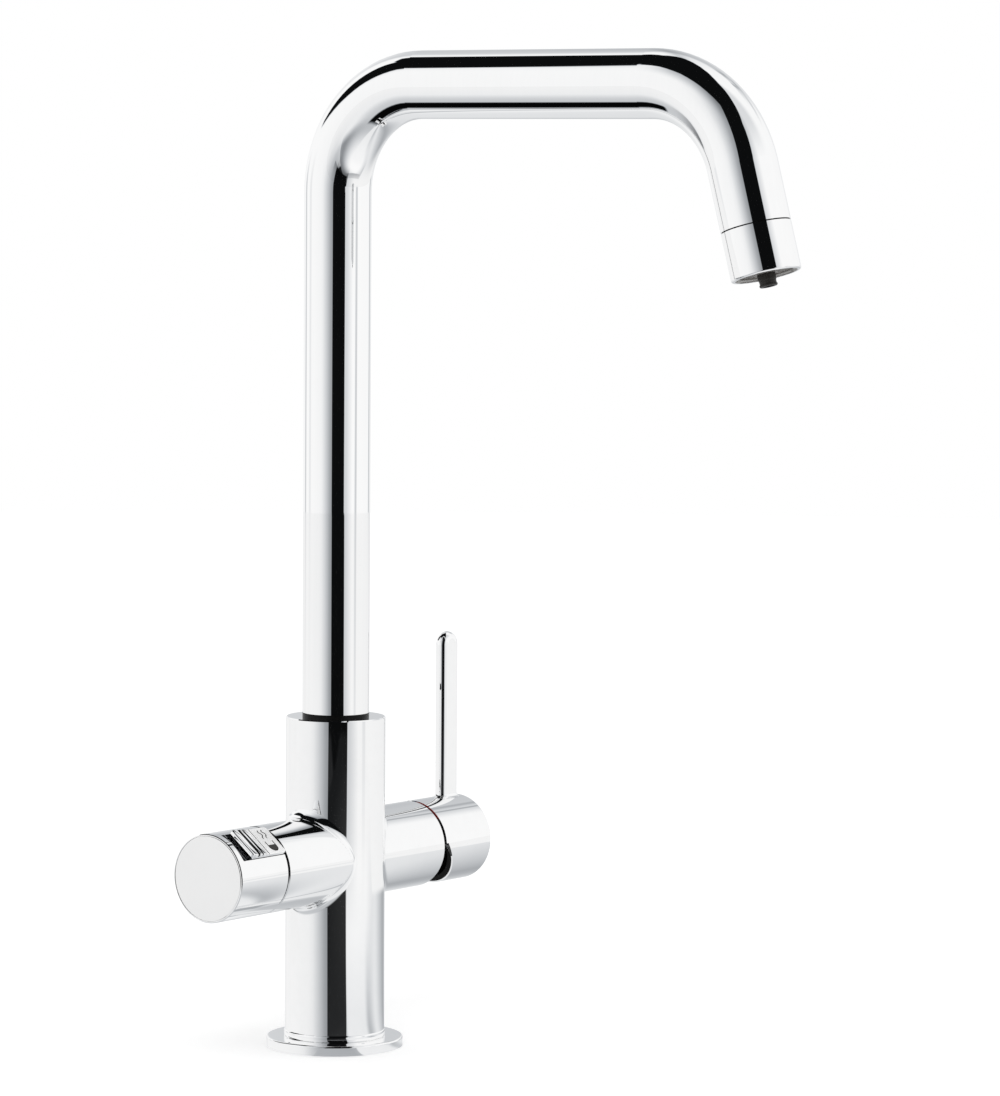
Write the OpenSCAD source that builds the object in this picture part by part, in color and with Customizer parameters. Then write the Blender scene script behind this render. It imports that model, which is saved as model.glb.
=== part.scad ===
// Boiling-water kitchen tap. A round column carries a swivelling spout with two square bends,
// a boiling-water handle with a sliding safety button on one arm and a single-lever mixer on
// the other. Millimetres. +Z is up and z = 0 is the worktop's surface. The column stands on
// the Z axis, the spout reaches towards -Y, and the two arms lie along X.

/* [Column and base] */
// Diameter of the column
column_d = 40; // [38:0.5:44]
// Height of the column's top above the worktop
column_top = 133.5; // [131:0.5:150]
// Chamfer round the column's top and the arms' rims
rim_chamfer = 0.4; // [0.2:0.1:0.8]
// Diameter of the base flange
flange_d = 55; // [52:1:64]
// Thickness of the base flange
flange_h = 4; // [3.5:0.5:6]
// Rounding of the flange's upper edge
flange_round = 0.8; // [0.4:0.1:1.4]
// Mean diameter of the flat gasket under the flange
gasket_d = 44; // [42:0.5:46]
// Width of the gasket
gasket_w = 3.4; // [2:0.2:4]
// Thickness of the gasket
gasket_h = 1.6; // [1:0.1:2]

/* [Fixing under the worktop] */
// Outer diameter of the hollow threaded shank
shank_d = 32; // [30:0.5:33]
// Wall of the shank
shank_wall = 3; // [2:0.25:4]
// How far the shank reaches below the worktop's surface
shank_drop = 62; // [52:1:80]
// How far the shank screws up into the column
shank_grip = 13; // [10:0.5:18]
// Thickness of the worktop that is clamped
worktop_t = 30; // [20:1:38]
// Diameter of the rubber and steel washers
washer_d = 50; // [46:1:60]
// Thickness of the rubber washer
rubber_h = 2.5; // [2:0.5:4]
// Thickness of the steel washer
steel_h = 2; // [1.5:0.5:3]
// Width across the flats of the fixing nut
nut_af = 42; // [40:1:48]
// Height of the fixing nut
nut_h = 9; // [7:0.5:12]

/* [Spout] */
// Outer diameter of the spout tube
tube_d = 26.8; // [26:0.2:28]
// Wall of the spout tube
tube_wall = 1.4; // [1:0.1:1.5]
// Height of the level run's centre line
spout_axis_h = 386; // [340:1:430]
// Centre-line radius of both bends
bend_r = 42.5; // [36:0.5:60]
// Distance from the column's axis to where the second bend begins
spout_run = 153.7; // [120:0.1:190]
// Lean of the last leg from the vertical, in degrees
outlet_lean = 15.4; // [2:0.2:25]
// Straight length of the last leg above the collar
leg_len = 23; // [20:0.5:40]
// Seam between the tube and the outlet collar
collar_seam = 0.5; // [0.2:0.1:0.8]
// Length of the outlet collar
collar_len = 18.6; // [16:0.2:24]
// Wall of the outlet collar at its mouth
collar_wall = 1.5; // [1.2:0.1:2]
// Outer diameter of the boiling-water nozzle
nozzle_d = 7; // [6.4:0.2:8]
// Bore of the boiling-water nozzle
nozzle_bore = 4.2; // [3.6:0.2:4.6]
// How far the nozzle stands out of the collar
nozzle_out = 4.1; // [2:0.1:8]
// Number of fins round the mixed-water outlet
fin_count = 24; // [12:1:30]
// Thickness of one fin
fin_t = 0.8; // [0.5:0.1:1]
// How far the outlet insert sits inside the collar's mouth
insert_recess = 0.8; // [0.4:0.1:1.4]

/* [Spout swivel] */
// Length of the spout foot inside the column
foot_depth = 35; // [33:0.5:38]
// Length of the spout foot brazed inside the tube
foot_lap = 18; // [12:1:26]
// Outer radius of the spout foot
foot_r = 11.95; // [11.8:0.05:11.95]
// Height of the black bush's collar between the column and the tube
bush_collar_h = 1.5; // [1:0.1:2.5]
// Length of the bush's sleeve inside the column
bush_sleeve = 15; // [10:0.5:16]
// Wall of the bush's sleeve
bush_wall = 1.1; // [0.9:0.05:1.2]
// Thickness of the O-rings' section
oring_t = 1.76; // [1.4:0.02:1.8]
// Swing of the spout each way, in degrees
spout_swing = 60; // [40:5:75]
// Diameter of the stop screw at the column's back
stop_screw_d = 5; // [4:0.5:5]

/* [Arms] */
// Height of the arms' axis above the worktop
arm_h = 76.4; // [75:0.2:78]
// Diameter of the arms and of both handles
arm_d = 35; // [33.5:0.5:36]
// Distance from the column's axis to the arms' rims
arm_reach = 50; // [49.5:0.5:56]
// Diameter of the bore in each arm
arm_bore_d = 28; // [27.5:0.5:29]
// Distance from the column's axis to the floor of each bore
arm_bore_floor = 20; // [18:0.5:21]
// Depth of the retaining nuts below the arms' rims
ring_nut_recess = 0.5; // [0.2:0.1:1]
// Length of the retaining nuts
ring_nut_h = 5.5; // [4:0.5:6]
// Diameter of the three inlets under the column
inlet_d = 8.8; // [8:0.2:9]
// Length of the three inlets
inlet_len = 12; // [9:0.5:13]
// Diameter of the flat seat milled round each inlet
inlet_seat_d = 12; // [10.5:0.5:13]
// Step in height from the chamber's ceiling to the first seat, and from each seat to the next
inlet_step = 2; // [1:0.5:2.5]
// Height of the hose chamber's ceiling
chamber_top = 46; // [40:1:48]

/* [Boiling-water handle] */
// Seam between the arm and the handle
handle_seam = 0.8; // [0.5:0.1:1.2]
// Length of the handle
handle_len = 28.4; // [28.4:0.2:34]
// Turn of the button from the top towards the front, in degrees
button_turn = 38; // [0:1:60]
// Diameter of the handle's inner bore
handle_bore_d = 22.6; // [20:0.2:23]
// Thickness of the end cap
cap_t = 1.6; // [1.2:0.1:2]
// Width of the rim round the end cap
cap_rim = 0.6; // [0.5:0.1:1.5]
// Diameter of the valve spindle
spindle_d = 10; // [8:0.5:10]
// Diameter of the ceramic discs of the boiling valve
valve_disc_d = 18; // [15:0.5:20]
// Thickness of the ceramic discs
disc_t = 3; // [2:0.25:3]
// Diameter of the handle's fixing screw
handle_screw_d = 4; // [3:0.5:5]

/* [Safety button] */
// Width of the button
button_w = 14.4; // [12:0.2:15]
// Length of the button's plate, catch included
button_len = 21.5; // [20:0.5:22]
// Height of the plate's face above the arm's axis
button_top = 17.3; // [17.2:0.1:17.8]
// Thickness of the upper plate
button_plate_t = 1.7; // [1.2:0.1:2]
// Corner radius of the plate beside the seam
button_corner_r = 1.8; // [0.5:0.1:3]
// Height of the slot's floor above the arm's axis
button_floor = 13; // [12.6:0.1:13.2]
// Number of thumb ridges on the catch
ridge_count = 3; // [2:1:4]
// Pitch of the thumb ridges
ridge_pitch = 3.1; // [2.4:0.1:3.2]
// Rise of each ridge over the one before
ridge_step = 0.45; // [0.2:0.05:0.6]
// Travel of the button away from the column
button_travel = 4; // [2:0.5:4.5]

/* [Mixer] */
// Gap between the arm's rim and the knob at the top
knob_gap = 1.2; // [1:0.1:1.6]
// Length of the knob
knob_len = 30; // [28:0.5:34]
// Wall of the knob's skirt
knob_wall = 2.5; // [2:0.25:3]
// Rounding of the knob's outer edge
knob_round = 0.8; // [0.4:0.1:1.5]
// Angle by which the relief cut under the knob exceeds the lever's tilt, in degrees
relief_spare = 3; // [2:0.5:6]
// Step from the knob's rim to where the relief cut starts
relief_step = 1.2; // [0.6:0.1:2]
// Height of the relief cut's start above the arm's axis
relief_start = 1.4; // [0:0.2:3]
// Tilt of the lever from shut to fully open, in degrees
lever_tilt = 25; // [15:1:25]
// Depth of the tilt axis below the arm's rim
pivot_depth = 6; // [5.6:0.1:6.2]
// Diameter of the tilt pin
pivot_pin_d = 3; // [2.5:0.25:3.5]
// Width of the stem across the tilt axis
stem_h = 7; // [6:0.25:7]
// Width of the stem along the tilt axis
stem_w = 8; // [6.5:0.25:8]
// Length of the stem from the tilt axis to its outer end
stem_len = 27; // [25:0.5:27.5]
// Distance from the knob's outer end to the lever's axis
lever_inset = 8.2; // [6.5:0.1:11]
// Width of the lever over its two rounded edges
lever_w = 10.8; // [9:0.1:11]
// Thickness of the lever between its two flats
lever_t = 5.6; // [4.6:0.1:6.4]
// Height of the lever's tip above the arm's axis
lever_top = 85.9; // [70:0.1:110]
// Diameter of the mixer's grub screw
grub_d = 4; // [3:0.5:5]

/* [Fits] */
// Radial clearance of turning shafts
running_gap = 0.05; // [0.03:0.01:0.08]
// Radial clearance of the flange and the washers round the shank
shank_play = 0.3; // [0.2:0.05:0.4]
// Clearance of pieces that are screwed, brazed or pressed together
seat_gap = 0.02; // [0.02:0.01:0.05]
// End clearance between pieces that turn against each other
end_gap = 0.05; // [0.05:0.01:0.15]
// Side clearance of the sliding button
slide_gap = 0.2; // [0.15:0.05:0.3]

/* [Hidden] */
$fn = 96;

// How far a cut runs past the face it opens through
over = 1;
// How far the solids of one casting run into each other
join = 0.3;

// Column
column_r = column_d/2;
arm_r = arm_d/2;
arm_bore_r = arm_bore_d/2;
shank_r = shank_d/2;
shank_bore_r = shank_r - shank_wall;
chamber_r = shank_r - 1;
inlet_reach = chamber_r*0.55;
nut_chamfer = 1.2;

// Spout
tube_r = tube_d/2;
tube_in_r = tube_r - tube_wall;
tube_start = column_top + bush_collar_h + end_gap;
bush_in_r = foot_r + running_gap;
bush_out_r = bush_in_r + bush_wall;
foot_bore_gap = 0.15;
foot_bore_r = foot_r + foot_bore_gap;
foot_bottom = column_top - foot_depth;
boiling_pipe_r = 3;
boiling_pipe_bore = 2;
foot_hollow_r = 8;
foot_floor_t = 4;
foot_chamber = 1;
foot_port_r = 1.6;
foot_port_off = (boiling_pipe_r + foot_hollow_r)/2;
oring_r = foot_bore_r - running_gap/2 - oring_t/2;
oring_first = 3.5;
oring_pitch = 5;
oring_levels = [foot_bottom + oring_first, foot_bottom + oring_first + oring_pitch];
oring_play = 0.3;
oring_groove_h = oring_t + oring_play;
stop_rise = 14;
stop_z = foot_bottom + stop_rise;
stop_groove_depth = 2.2;
stop_groove_r = foot_r - stop_groove_depth;
stop_screw_r = stop_screw_d/2;
// Play of the stop screw in its groove, its end gap, its depth under the column's face and
// the half angle that it takes up
stop_play = 0.2;
stop_tip_gap = 0.4;
stop_sink = 0.8;
stop_angle = 14;
socket_depth = 2.4;
bend_turn = 90 - outlet_lean;
leg_lap = 0.6;
leg_ease = 0.02;
collar_bore_r = tube_r - collar_wall;
neck_r = tube_in_r - seat_gap;
neck_len = 7;
neck_root = 3;
collar_round = 0.7;
insert_h = 8;
insert_wall = 1.6;
insert_hub_wall = 1;
insert_floor = 1.2;
insert_hole_r = 1.1;
fin_set = 0.4;
insert_hub_r = nozzle_d/2 + insert_hub_wall;
insert_ring_r = collar_bore_r - insert_wall;
insert_hole_off = (insert_hub_r + insert_ring_r)/2;
nozzle_up = 14;
nozzle_bead = 0.9;
nozzle_groove_w = 1.3;
nozzle_groove = 0.25;

// Boiling-water valve, measured outwards from the column's axis along its arm
cartridge_r = arm_bore_r - seat_gap;
cartridge_end = arm_reach - ring_nut_recess - ring_nut_h;
valve_chamber_r = valve_disc_d/2 + running_gap;
fixed_disc_out = arm_bore_floor + disc_t;
turning_disc_out = fixed_disc_out + end_gap + disc_t;
driver_t = 3;
driver_play = 0.8;
driver_out = turning_disc_out + driver_t;
spindle_r = spindle_d/2;
neck_out = arm_reach - ring_nut_recess;
neck_wall = 3.2;
cartridge_neck_r = spindle_r + neck_wall;
valve_port_r = 2;
valve_port_off = valve_disc_d/4;
nut_play = 0.1;
spanner_hole_r = 1.1;
spanner_hole_depth = 2.5;
handle_in = arm_reach + handle_seam;
handle_out = handle_in + handle_len;
cap_in = handle_out - cap_t;
handle_bore_r = handle_bore_d/2;
handle_hollow = 19.2;
handle_web_in = handle_in + handle_hollow;
hub_wall = 4;
hub_r = spindle_r + hub_wall;
hub_set = 4.2;
hub_in = handle_in + hub_set;
spindle_set = 3;
spindle_out = handle_web_in - spindle_set;
handle_web_t = 2.6;
screw_head_in = handle_web_in + handle_web_t;
screw_head_r = handle_screw_d;
screw_head_h = 2.4;
screw_grip = 10;
screw_end_gap = 2;
screw_play = 0.2;
head_play = 0.3;

// End gap of the spindle's and the stem's sockets
socket_gap = 0.3;

// Safety button, in the frame of its slot: x is the height over the arm's axis
button_lead = 0.5;
button_in = handle_in - button_lead;
button_out = button_in + button_len;
slot_half = button_w/2 + slide_gap;
rail_w = 0.7;
rail_h = 1.5;
rail_top = button_floor + rail_h;
scoop_r = 6.2;
scoop_sink = 0.2;
scoop_x = button_floor + scoop_r - scoop_sink;
pocket_spare = 0.8;
pocket_out = button_out + button_travel + pocket_spare;
scoop_z = pocket_out - sqrt(scoop_r*scoop_r - pow(arm_r - scoop_x, 2));
catch_lead = 0.4;
catch_end = 1;
catch_in = button_out - ridge_count*ridge_pitch - catch_lead - catch_end;
block_set = 0.9;
block_in = handle_in + block_set;
block_side = 0.3;
rail_short = 1;
catch_side_gap = 0.2;
underscoop_r = 3.4;
underscoop_off = 2;
underscoop_rise = 1.2;
block_out = scoop_z - button_travel - slide_gap;

// Mixer, measured outwards from the column's axis along its arm
pivot_reach = arm_reach - pivot_depth;
stem_reach = pivot_reach + stem_len;
tip_lever = 7.2;
tip_depth = 1.2;
stem_tip = pivot_reach - tip_lever;
slider_out = stem_tip + tip_depth;
slider_t = 4;
slider_in = slider_out - slider_t;
mixer_fixed_out = slider_in - end_gap;
base_out = mixer_fixed_out - disc_t;
chamber_wall = 3.5;
mixer_chamber_r = arm_bore_r - chamber_wall;
slider_side = 3.5;
slider_r = mixer_chamber_r - slider_side;
mixer_port_r = 2.4;
mixer_port_off = slider_r - 1;
tip_r = 2;
tip_gap = 0.15;
stem_neck_h = 2.4;
carrier_in = slider_out + end_gap;
cartridge_lip = 2;
carrier_flange_out = cartridge_end - cartridge_lip - end_gap;
carrier_stand = 0.5;
carrier_out = arm_reach + carrier_stand;
carrier_lip = 1;
carrier_r = mixer_chamber_r - carrier_lip;
carrier_nut_play = 0.4;
carrier_flange_r = mixer_chamber_r - running_gap;
stem_slot_half = 7.7;
pivot_pin_r = pivot_pin_d/2;
pin_set = 1.2;
pin_half = carrier_r - pin_set;
slot_play = 0.15;
pocket_play = 0.1;
pocket_floor = 0.2;
knob_in = arm_reach + knob_gap;
knob_out = knob_in + knob_len;
lever_reach = knob_out - lever_inset;
knob_bore_r = arm_r - knob_wall;
knob_hub_r = 7.5;
knob_hub_off = 12;
knob_hub_in = pivot_reach + knob_hub_off;
knob_end_t = 11;
knob_floor = knob_out - knob_end_t;
grub_set = 4;
grub_reach = knob_floor - grub_set;
grub_len = 6;
grub_socket = 2;
grub_r = grub_d/2;
ring_bore_gap = 0.3;
ring_rim = 0.6;
ring_gap = 0.4;
ring_in_r = arm_bore_r + ring_bore_gap;
ring_out_r = arm_r - ring_rim;
ring_t = knob_gap - ring_gap;
lever_flat_half = (lever_w - lever_t)/2;
lever_straight = lever_top - lever_w/2;
relief_angle = lever_tilt + relief_spare;

chrome = [0.82, 0.83, 0.85];
brass = [0.78, 0.64, 0.32];
black = [0.08, 0.08, 0.09];
grey = [0.36, 0.36, 0.36];
ceramic = [0.93, 0.92, 0.88];
steel = [0.62, 0.63, 0.65];
rubber = [0.12, 0.12, 0.12];
satin = [0.75, 0.76, 0.78];
hot_red = [0.75, 0.12, 0.10];

// A ring of rectangular section round Z
module ring(r_in, r_out, z0, z1) {
    rotate_extrude() translate([r_in, z0]) square([r_out - r_in, z1 - z0]);
}

// What lies outside a rounded corner at (x, y) of a profile whose inside is towards (dx, dy)
module corner(x, y, r, dx, dy) {
    difference() {
        translate([dx > 0 ? x - over : x - r, dy > 0 ? y - over : y - r])
            square(r + over);
        translate([x + dx*r, y + dy*r]) circle(r = r, $fn = 48);
    }
}

// A round bar along Z with a chamfer at both ends
module bar(r, z0, z1, c0, c1) {
    rotate_extrude() polygon([[0, z0], [r - c0, z0], [r, z0 + c0], [r, z1 - c1],
                              [r - c1, z1], [0, z1]]);
}

// The boiling-water arm's frame: z outwards along -X, x up, y towards +Y
module left_arm() { translate([0, 0, arm_h]) rotate([0, -90, 0]) children(); }

// The mixer arm's frame: z outwards along +X, x up, y towards -Y
module right_arm() { translate([0, 0, arm_h]) rotate([0, 90, 0]) rotate(180) children(); }

// The safety button's frame inside the boiling-water arm's: x out through the button's face
module button_frame() { left_arm() rotate(-button_turn) children(); }

// The last leg's frame: z down the leg from the second bend's end
module leg_frame() {
    translate([0, -spout_run, spout_axis_h - bend_r]) rotate([-outlet_lean, 0, 0])
        translate([0, -bend_r, 0]) rotate([180, 0, 0]) children();
}

// A round bar along the spout's centre line, from z0 on the column's axis to a straight end of
// the given length below the second bend. The last leg laps over the bend's end.
module spout_line(r, z0, end) {
    translate([0, 0, z0]) cylinder(r = r, h = spout_axis_h - bend_r - z0);
    translate([0, -bend_r, spout_axis_h - bend_r]) rotate([90, 0, 90])
        rotate_extrude(angle = 90) translate([bend_r, 0]) circle(r = r);
    translate([0, -bend_r, spout_axis_h]) rotate([90, 0, 0])
        cylinder(r = r, h = spout_run - bend_r);
    translate([0, -spout_run, spout_axis_h - bend_r]) rotate([90, 0, 90]) rotate(90)
        rotate_extrude(angle = bend_turn) translate([bend_r, 0]) circle(r = r);
    leg_frame() translate([0, 0, -leg_lap]) cylinder(r = r + leg_ease, h = end + leg_lap);
}

// Column

module column_bar() {
    translate([0, 0, flange_h]) bar(column_r, 0, column_top - flange_h, 0, rim_chamfer);
}

module tap_body() color(chrome) difference() {
    union() {
        column_bar();
        left_arm() bar(arm_r, 0, arm_reach, 0, rim_chamfer);
        right_arm() bar(arm_r, 0, arm_reach, 0, rim_chamfer);
    }
    // Seat of the spout bush, bore of the spout foot and its chamber
    translate([0, 0, column_top - bush_sleeve - end_gap])
        cylinder(r = bush_out_r + seat_gap, h = bush_sleeve + end_gap + over);
    translate([0, 0, foot_bottom - foot_chamber])
        cylinder(r = foot_bore_r, h = foot_depth + foot_chamber);
    // Bores for the two cartridges
    left_arm() translate([0, 0, arm_bore_floor])
        cylinder(r = arm_bore_r, h = arm_reach - arm_bore_floor + over);
    right_arm() translate([0, 0, arm_bore_floor])
        cylinder(r = arm_bore_r, h = arm_reach - arm_bore_floor + over);
    // Thread for the shank, hose chamber above it and the three inlets in its ceiling. Each
    // inlet has a milled seat, one step above the last, so the hose ends pass each other.
    translate([0, 0, flange_h - over]) cylinder(r = shank_r + seat_gap, h = shank_grip + over);
    translate([0, 0, flange_h]) cylinder(r = chamber_r, h = chamber_top - flange_h);
    for (i = [0:2]) rotate(90 + i*120) translate([inlet_reach, 0, chamber_top]) {
        translate([0, 0, -over]) cylinder(d = inlet_seat_d, h = (i + 1)*inlet_step + over);
        cylinder(d = inlet_d, h = (i + 1)*inlet_step + inlet_len);
    }
    // Thread for the stop screw
    translate([0, 0, stop_z]) rotate([-90, 0, 0]) cylinder(r = stop_screw_r, h = column_r + over);
}

module base_flange() color(chrome) rotate_extrude() difference() {
    translate([shank_r + shank_play, 0]) square([flange_d/2 - shank_r - shank_play, flange_h]);
    corner(flange_d/2, flange_h, flange_round, -1, -1);
    translate([gasket_d/2 - gasket_w/2 - seat_gap, -over])
        square([gasket_w + 2*seat_gap, gasket_h + over]);
}

module base_gasket() color(rubber)
    ring(gasket_d/2 - gasket_w/2, gasket_d/2 + gasket_w/2, 0, gasket_h);

module mounting_shank() color(brass) difference() {
    translate([0, 0, -shank_drop])
        bar(shank_r, 0, shank_drop + flange_h + shank_grip - seat_gap, 1, 0.5);
    translate([0, 0, -shank_drop - over])
        cylinder(r = shank_bore_r, h = shank_drop + flange_h + shank_grip + 2*over);
}

module rubber_washer() color(rubber)
    ring(shank_r + shank_play, washer_d/2, -worktop_t - rubber_h, -worktop_t);

module steel_washer() color(steel)
    ring(shank_r + shank_play, washer_d/2, -worktop_t - rubber_h - steel_h, -worktop_t - rubber_h);

module fixing_nut() color(brass)
    translate([0, 0, -worktop_t - rubber_h - steel_h - nut_h]) difference() {
        intersection() {
            cylinder(d = nut_af/cos(30), h = nut_h, $fn = 6);
            bar(nut_af/2/cos(30) - nut_chamfer/2, 0, nut_h, nut_chamfer, 0);
        }
        translate([0, 0, -over]) cylinder(r = shank_r + seat_gap, h = nut_h + 2*over);
    }

// Spout

module spout_bush() color(black) {
    ring(bush_in_r, bush_out_r, column_top - bush_sleeve, column_top);
    ring(bush_in_r, tube_r, column_top, column_top + bush_collar_h);
}

module spout_stop_screw() color(steel) translate([0, 0, stop_z]) rotate([-90, 0, 0])
    difference() {
        translate([0, 0, stop_groove_r + stop_tip_gap])
            bar(stop_screw_r - seat_gap, 0, column_r - stop_sink - stop_groove_r - stop_tip_gap,
                0.4, 0.2);
        translate([0, 0, column_r - stop_sink - socket_depth])
            cylinder(d = stop_screw_d/2, h = socket_depth + over, $fn = 6);
    }

module spout_tube() color(chrome) difference() {
    spout_line(tube_r, tube_start, leg_len);
    spout_line(tube_in_r, tube_start - over, leg_len + over);
}

module spout_foot() color(brass) difference() {
    translate([0, 0, foot_bottom])
        bar(foot_r, 0, tube_start + foot_lap - foot_bottom, 0.5, 0.5);
    // Waterway
    translate([0, 0, foot_bottom + foot_floor_t])
        cylinder(r = foot_hollow_r, h = tube_start + foot_lap);
    for (a = [0:60:300]) rotate(a) translate([foot_port_off, 0, foot_bottom - over])
        cylinder(r = foot_port_r, h = foot_floor_t + 2*over);
    // Seat of the boiling-water pipe
    translate([0, 0, foot_bottom - over])
        cylinder(r = boiling_pipe_r + seat_gap, h = foot_floor_t + 2*over);
    // Grooves for the O-rings
    for (z = oring_levels)
        ring(oring_r - oring_t/2 - seat_gap, foot_r + over, z - oring_groove_h/2, z + oring_groove_h/2);
    // Groove that limits the swing
    translate([0, 0, stop_z]) rotate(90 - spout_swing - stop_angle)
        rotate_extrude(angle = 2*(spout_swing + stop_angle))
            translate([stop_groove_r, -stop_screw_r - stop_play])
                square([stop_groove_depth + over, stop_screw_d + 2*stop_play]);
}

module spout_seals() color(rubber) for (z = oring_levels) translate([0, 0, z])
    rotate_extrude() translate([oring_r, 0]) circle(d = oring_t, $fn = 32);

module boiling_water_pipe() color(steel) difference() {
    pipe_end = leg_len + collar_seam + collar_len - nozzle_up;
    spout_line(boiling_pipe_r, foot_bottom, pipe_end, $fn = 48);
    spout_line(boiling_pipe_bore, foot_bottom - over, pipe_end + over, $fn = 48);
}

module outlet_collar() color(chrome) leg_frame() translate([0, 0, leg_len]) {
    rotate_extrude() difference() {
        union() {
            translate([insert_ring_r, -neck_len])
                square([neck_r - insert_ring_r, neck_len + collar_seam + neck_root]);
            translate([insert_ring_r, collar_seam])
                square([tube_r - insert_ring_r, collar_len]);
        }
        corner(tube_r, collar_seam + collar_len, collar_round, -1, -1);
        translate([0, collar_seam + collar_len - insert_recess - insert_h])
            square([collar_bore_r, insert_h + insert_recess + over]);
    }
}

// Mixed-water outlet: an outer ring and a hub joined by radial fins, with a perforated floor
module outlet_insert() color(grey) leg_frame()
    translate([0, 0, leg_len + collar_seam + collar_len - insert_recess - insert_h]) {
        difference() {
            union() {
                ring(insert_ring_r, collar_bore_r - seat_gap, 0, insert_h);
                ring(nozzle_d/2 + seat_gap, insert_hub_r, 0, insert_h);
                ring(insert_hub_r - join, insert_ring_r + join, 0, insert_floor);
            }
            for (i = [0:11]) rotate(i*30 + 15) translate([insert_hole_off, 0, -over])
                cylinder(r = insert_hole_r, h = insert_floor + 2*over, $fn = 24);
        }
        for (i = [0:fin_count - 1]) rotate(i*360/fin_count)
            translate([insert_hub_r - join, -fin_t/2, insert_floor - join])
                cube([insert_ring_r - insert_hub_r + 2*join, fin_t,
                      insert_h - insert_floor + join - fin_set]);
    }

module boiling_nozzle() color(grey) leg_frame() translate([0, 0, leg_len + collar_seam]) {
    end = collar_len + nozzle_out;
    difference() {
        union() {
            bar(nozzle_d/2 - nozzle_groove, collar_len - nozzle_up, end, 0.3, 0.2);
            bar(nozzle_d/2, collar_len - nozzle_up, end - nozzle_bead - nozzle_groove_w, 0.3, 0.3);
            bar(nozzle_d/2, end - nozzle_bead, end, 0.2, 0.3);
        }
        translate([0, 0, collar_len - nozzle_up - over]) cylinder(d = nozzle_bore, h = end);
    }
}

// Boiling-water valve and handle

module boiling_cartridge() color(brass) left_arm() difference() {
    union() {
        bar(cartridge_r, arm_bore_floor, cartridge_end, 0.5, 0.3);
        bar(cartridge_neck_r, cartridge_end - join, neck_out, 0, 0.3);
    }
    translate([0, 0, arm_bore_floor - over])
        cylinder(r = valve_chamber_r, h = driver_out - arm_bore_floor + end_gap + over);
    translate([0, 0, driver_out]) cylinder(r = spindle_r + running_gap, h = neck_out);
}

module boiling_fixed_disc() color(ceramic) left_arm() difference() {
    translate([0, 0, arm_bore_floor]) cylinder(d = valve_disc_d, h = disc_t);
    for (s = [-1, 1]) translate([s*valve_port_off, 0, arm_bore_floor - over])
        cylinder(r = valve_port_r, h = disc_t + 2*over);
}

module boiling_turning_disc() color(ceramic) left_arm() difference() {
    translate([0, 0, fixed_disc_out + end_gap]) cylinder(d = valve_disc_d, h = disc_t);
    for (s = [-1, 1]) translate([0, s*valve_port_off, fixed_disc_out])
        cylinder(r = valve_port_r, h = disc_t + 2*over);
}

module boiling_spindle() color(steel) left_arm() difference() {
    union() {
        bar(valve_disc_d/2 - driver_play, turning_disc_out, driver_out, 0.2, 0.2);
        bar(spindle_r, driver_out - join, spindle_out, 0, 0.5);
    }
    translate([0, 0, spindle_out - screw_grip - screw_end_gap])
        cylinder(d = handle_screw_d + 2*seat_gap, h = screw_grip + screw_end_gap + over);
}

// Bore of a retaining nut and the six holes for its pin spanner
module nut_bore(r) {
    translate([0, 0, cartridge_end - over]) cylinder(r = r, h = ring_nut_h + 2*over);
    for (a = [0:60:300]) rotate(a)
        translate([(r + cartridge_r)/2, 0, neck_out - spanner_hole_depth])
            cylinder(r = spanner_hole_r, h = spanner_hole_depth + over, $fn = 24);
}

module boiling_ring_nut() color(brass) left_arm() difference() {
    bar(cartridge_r, cartridge_end + seat_gap, neck_out, 0.3, 0.3);
    nut_bore(cartridge_neck_r + nut_play);
}

module boiling_handle() color(chrome) difference() {
    left_arm() bar(arm_r, handle_in, handle_out, 0.2, 0.3);
    left_arm() {
        // Hollow round the hub, hub's bore and the screw's hole
        difference() {
            translate([0, 0, handle_in - over])
                cylinder(r = handle_bore_r, h = handle_web_in - handle_in + over);
            translate([0, 0, hub_in]) cylinder(r = hub_r, h = handle_web_in);
        }
        translate([0, 0, hub_in - over])
            cylinder(r = spindle_r + seat_gap, h = spindle_out + socket_gap - hub_in + over);
        translate([0, 0, hub_in]) cylinder(d = handle_screw_d + 2*screw_play, h = handle_len);
        translate([0, 0, screw_head_in]) cylinder(r = screw_head_r + head_play, h = handle_len);
        // Recess of the end cap
        translate([0, 0, cap_in]) cylinder(r = arm_r - cap_rim + seat_gap, h = cap_t + over);
    }
    // Slot for the safety button, the rails' grooves and the thumb pocket
    button_frame() {
        translate([button_floor, -slot_half, handle_in - over])
            cube([arm_r, 2*slot_half, scoop_z - handle_in + over]);
        translate([button_floor, -slot_half - rail_w, handle_in - over])
            cube([rail_top - button_floor, 2*(slot_half + rail_w), scoop_z - handle_in + over]);
        intersection() {
            translate([scoop_x, 0, scoop_z]) rotate([90, 0, 0])
                cylinder(r = scoop_r, h = 2*slot_half, center = true);
            translate([0, -slot_half, scoop_z - over]) cube([2*arm_r, 2*slot_half, handle_len]);
        }
    }
}

module handle_end_cap() color(satin) left_arm()
    bar(arm_r - cap_rim, cap_in + seat_gap, handle_out, 0.2, 0.3);

module handle_screw() color(steel) left_arm() difference() {
    union() {
        bar(handle_screw_d/2, spindle_out - screw_grip, screw_head_in, 0.3, 0);
        bar(screw_head_r, screw_head_in + seat_gap, screw_head_in + screw_head_h, 0, 0.5);
        translate([0, 0, screw_head_in - join]) cylinder(d = handle_screw_d, h = 2*join);
    }
    translate([0, 0, screw_head_in + screw_head_h*2/3])
        cylinder(d = handle_screw_d*0.75, h = screw_head_h + over, $fn = 6);
}

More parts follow.
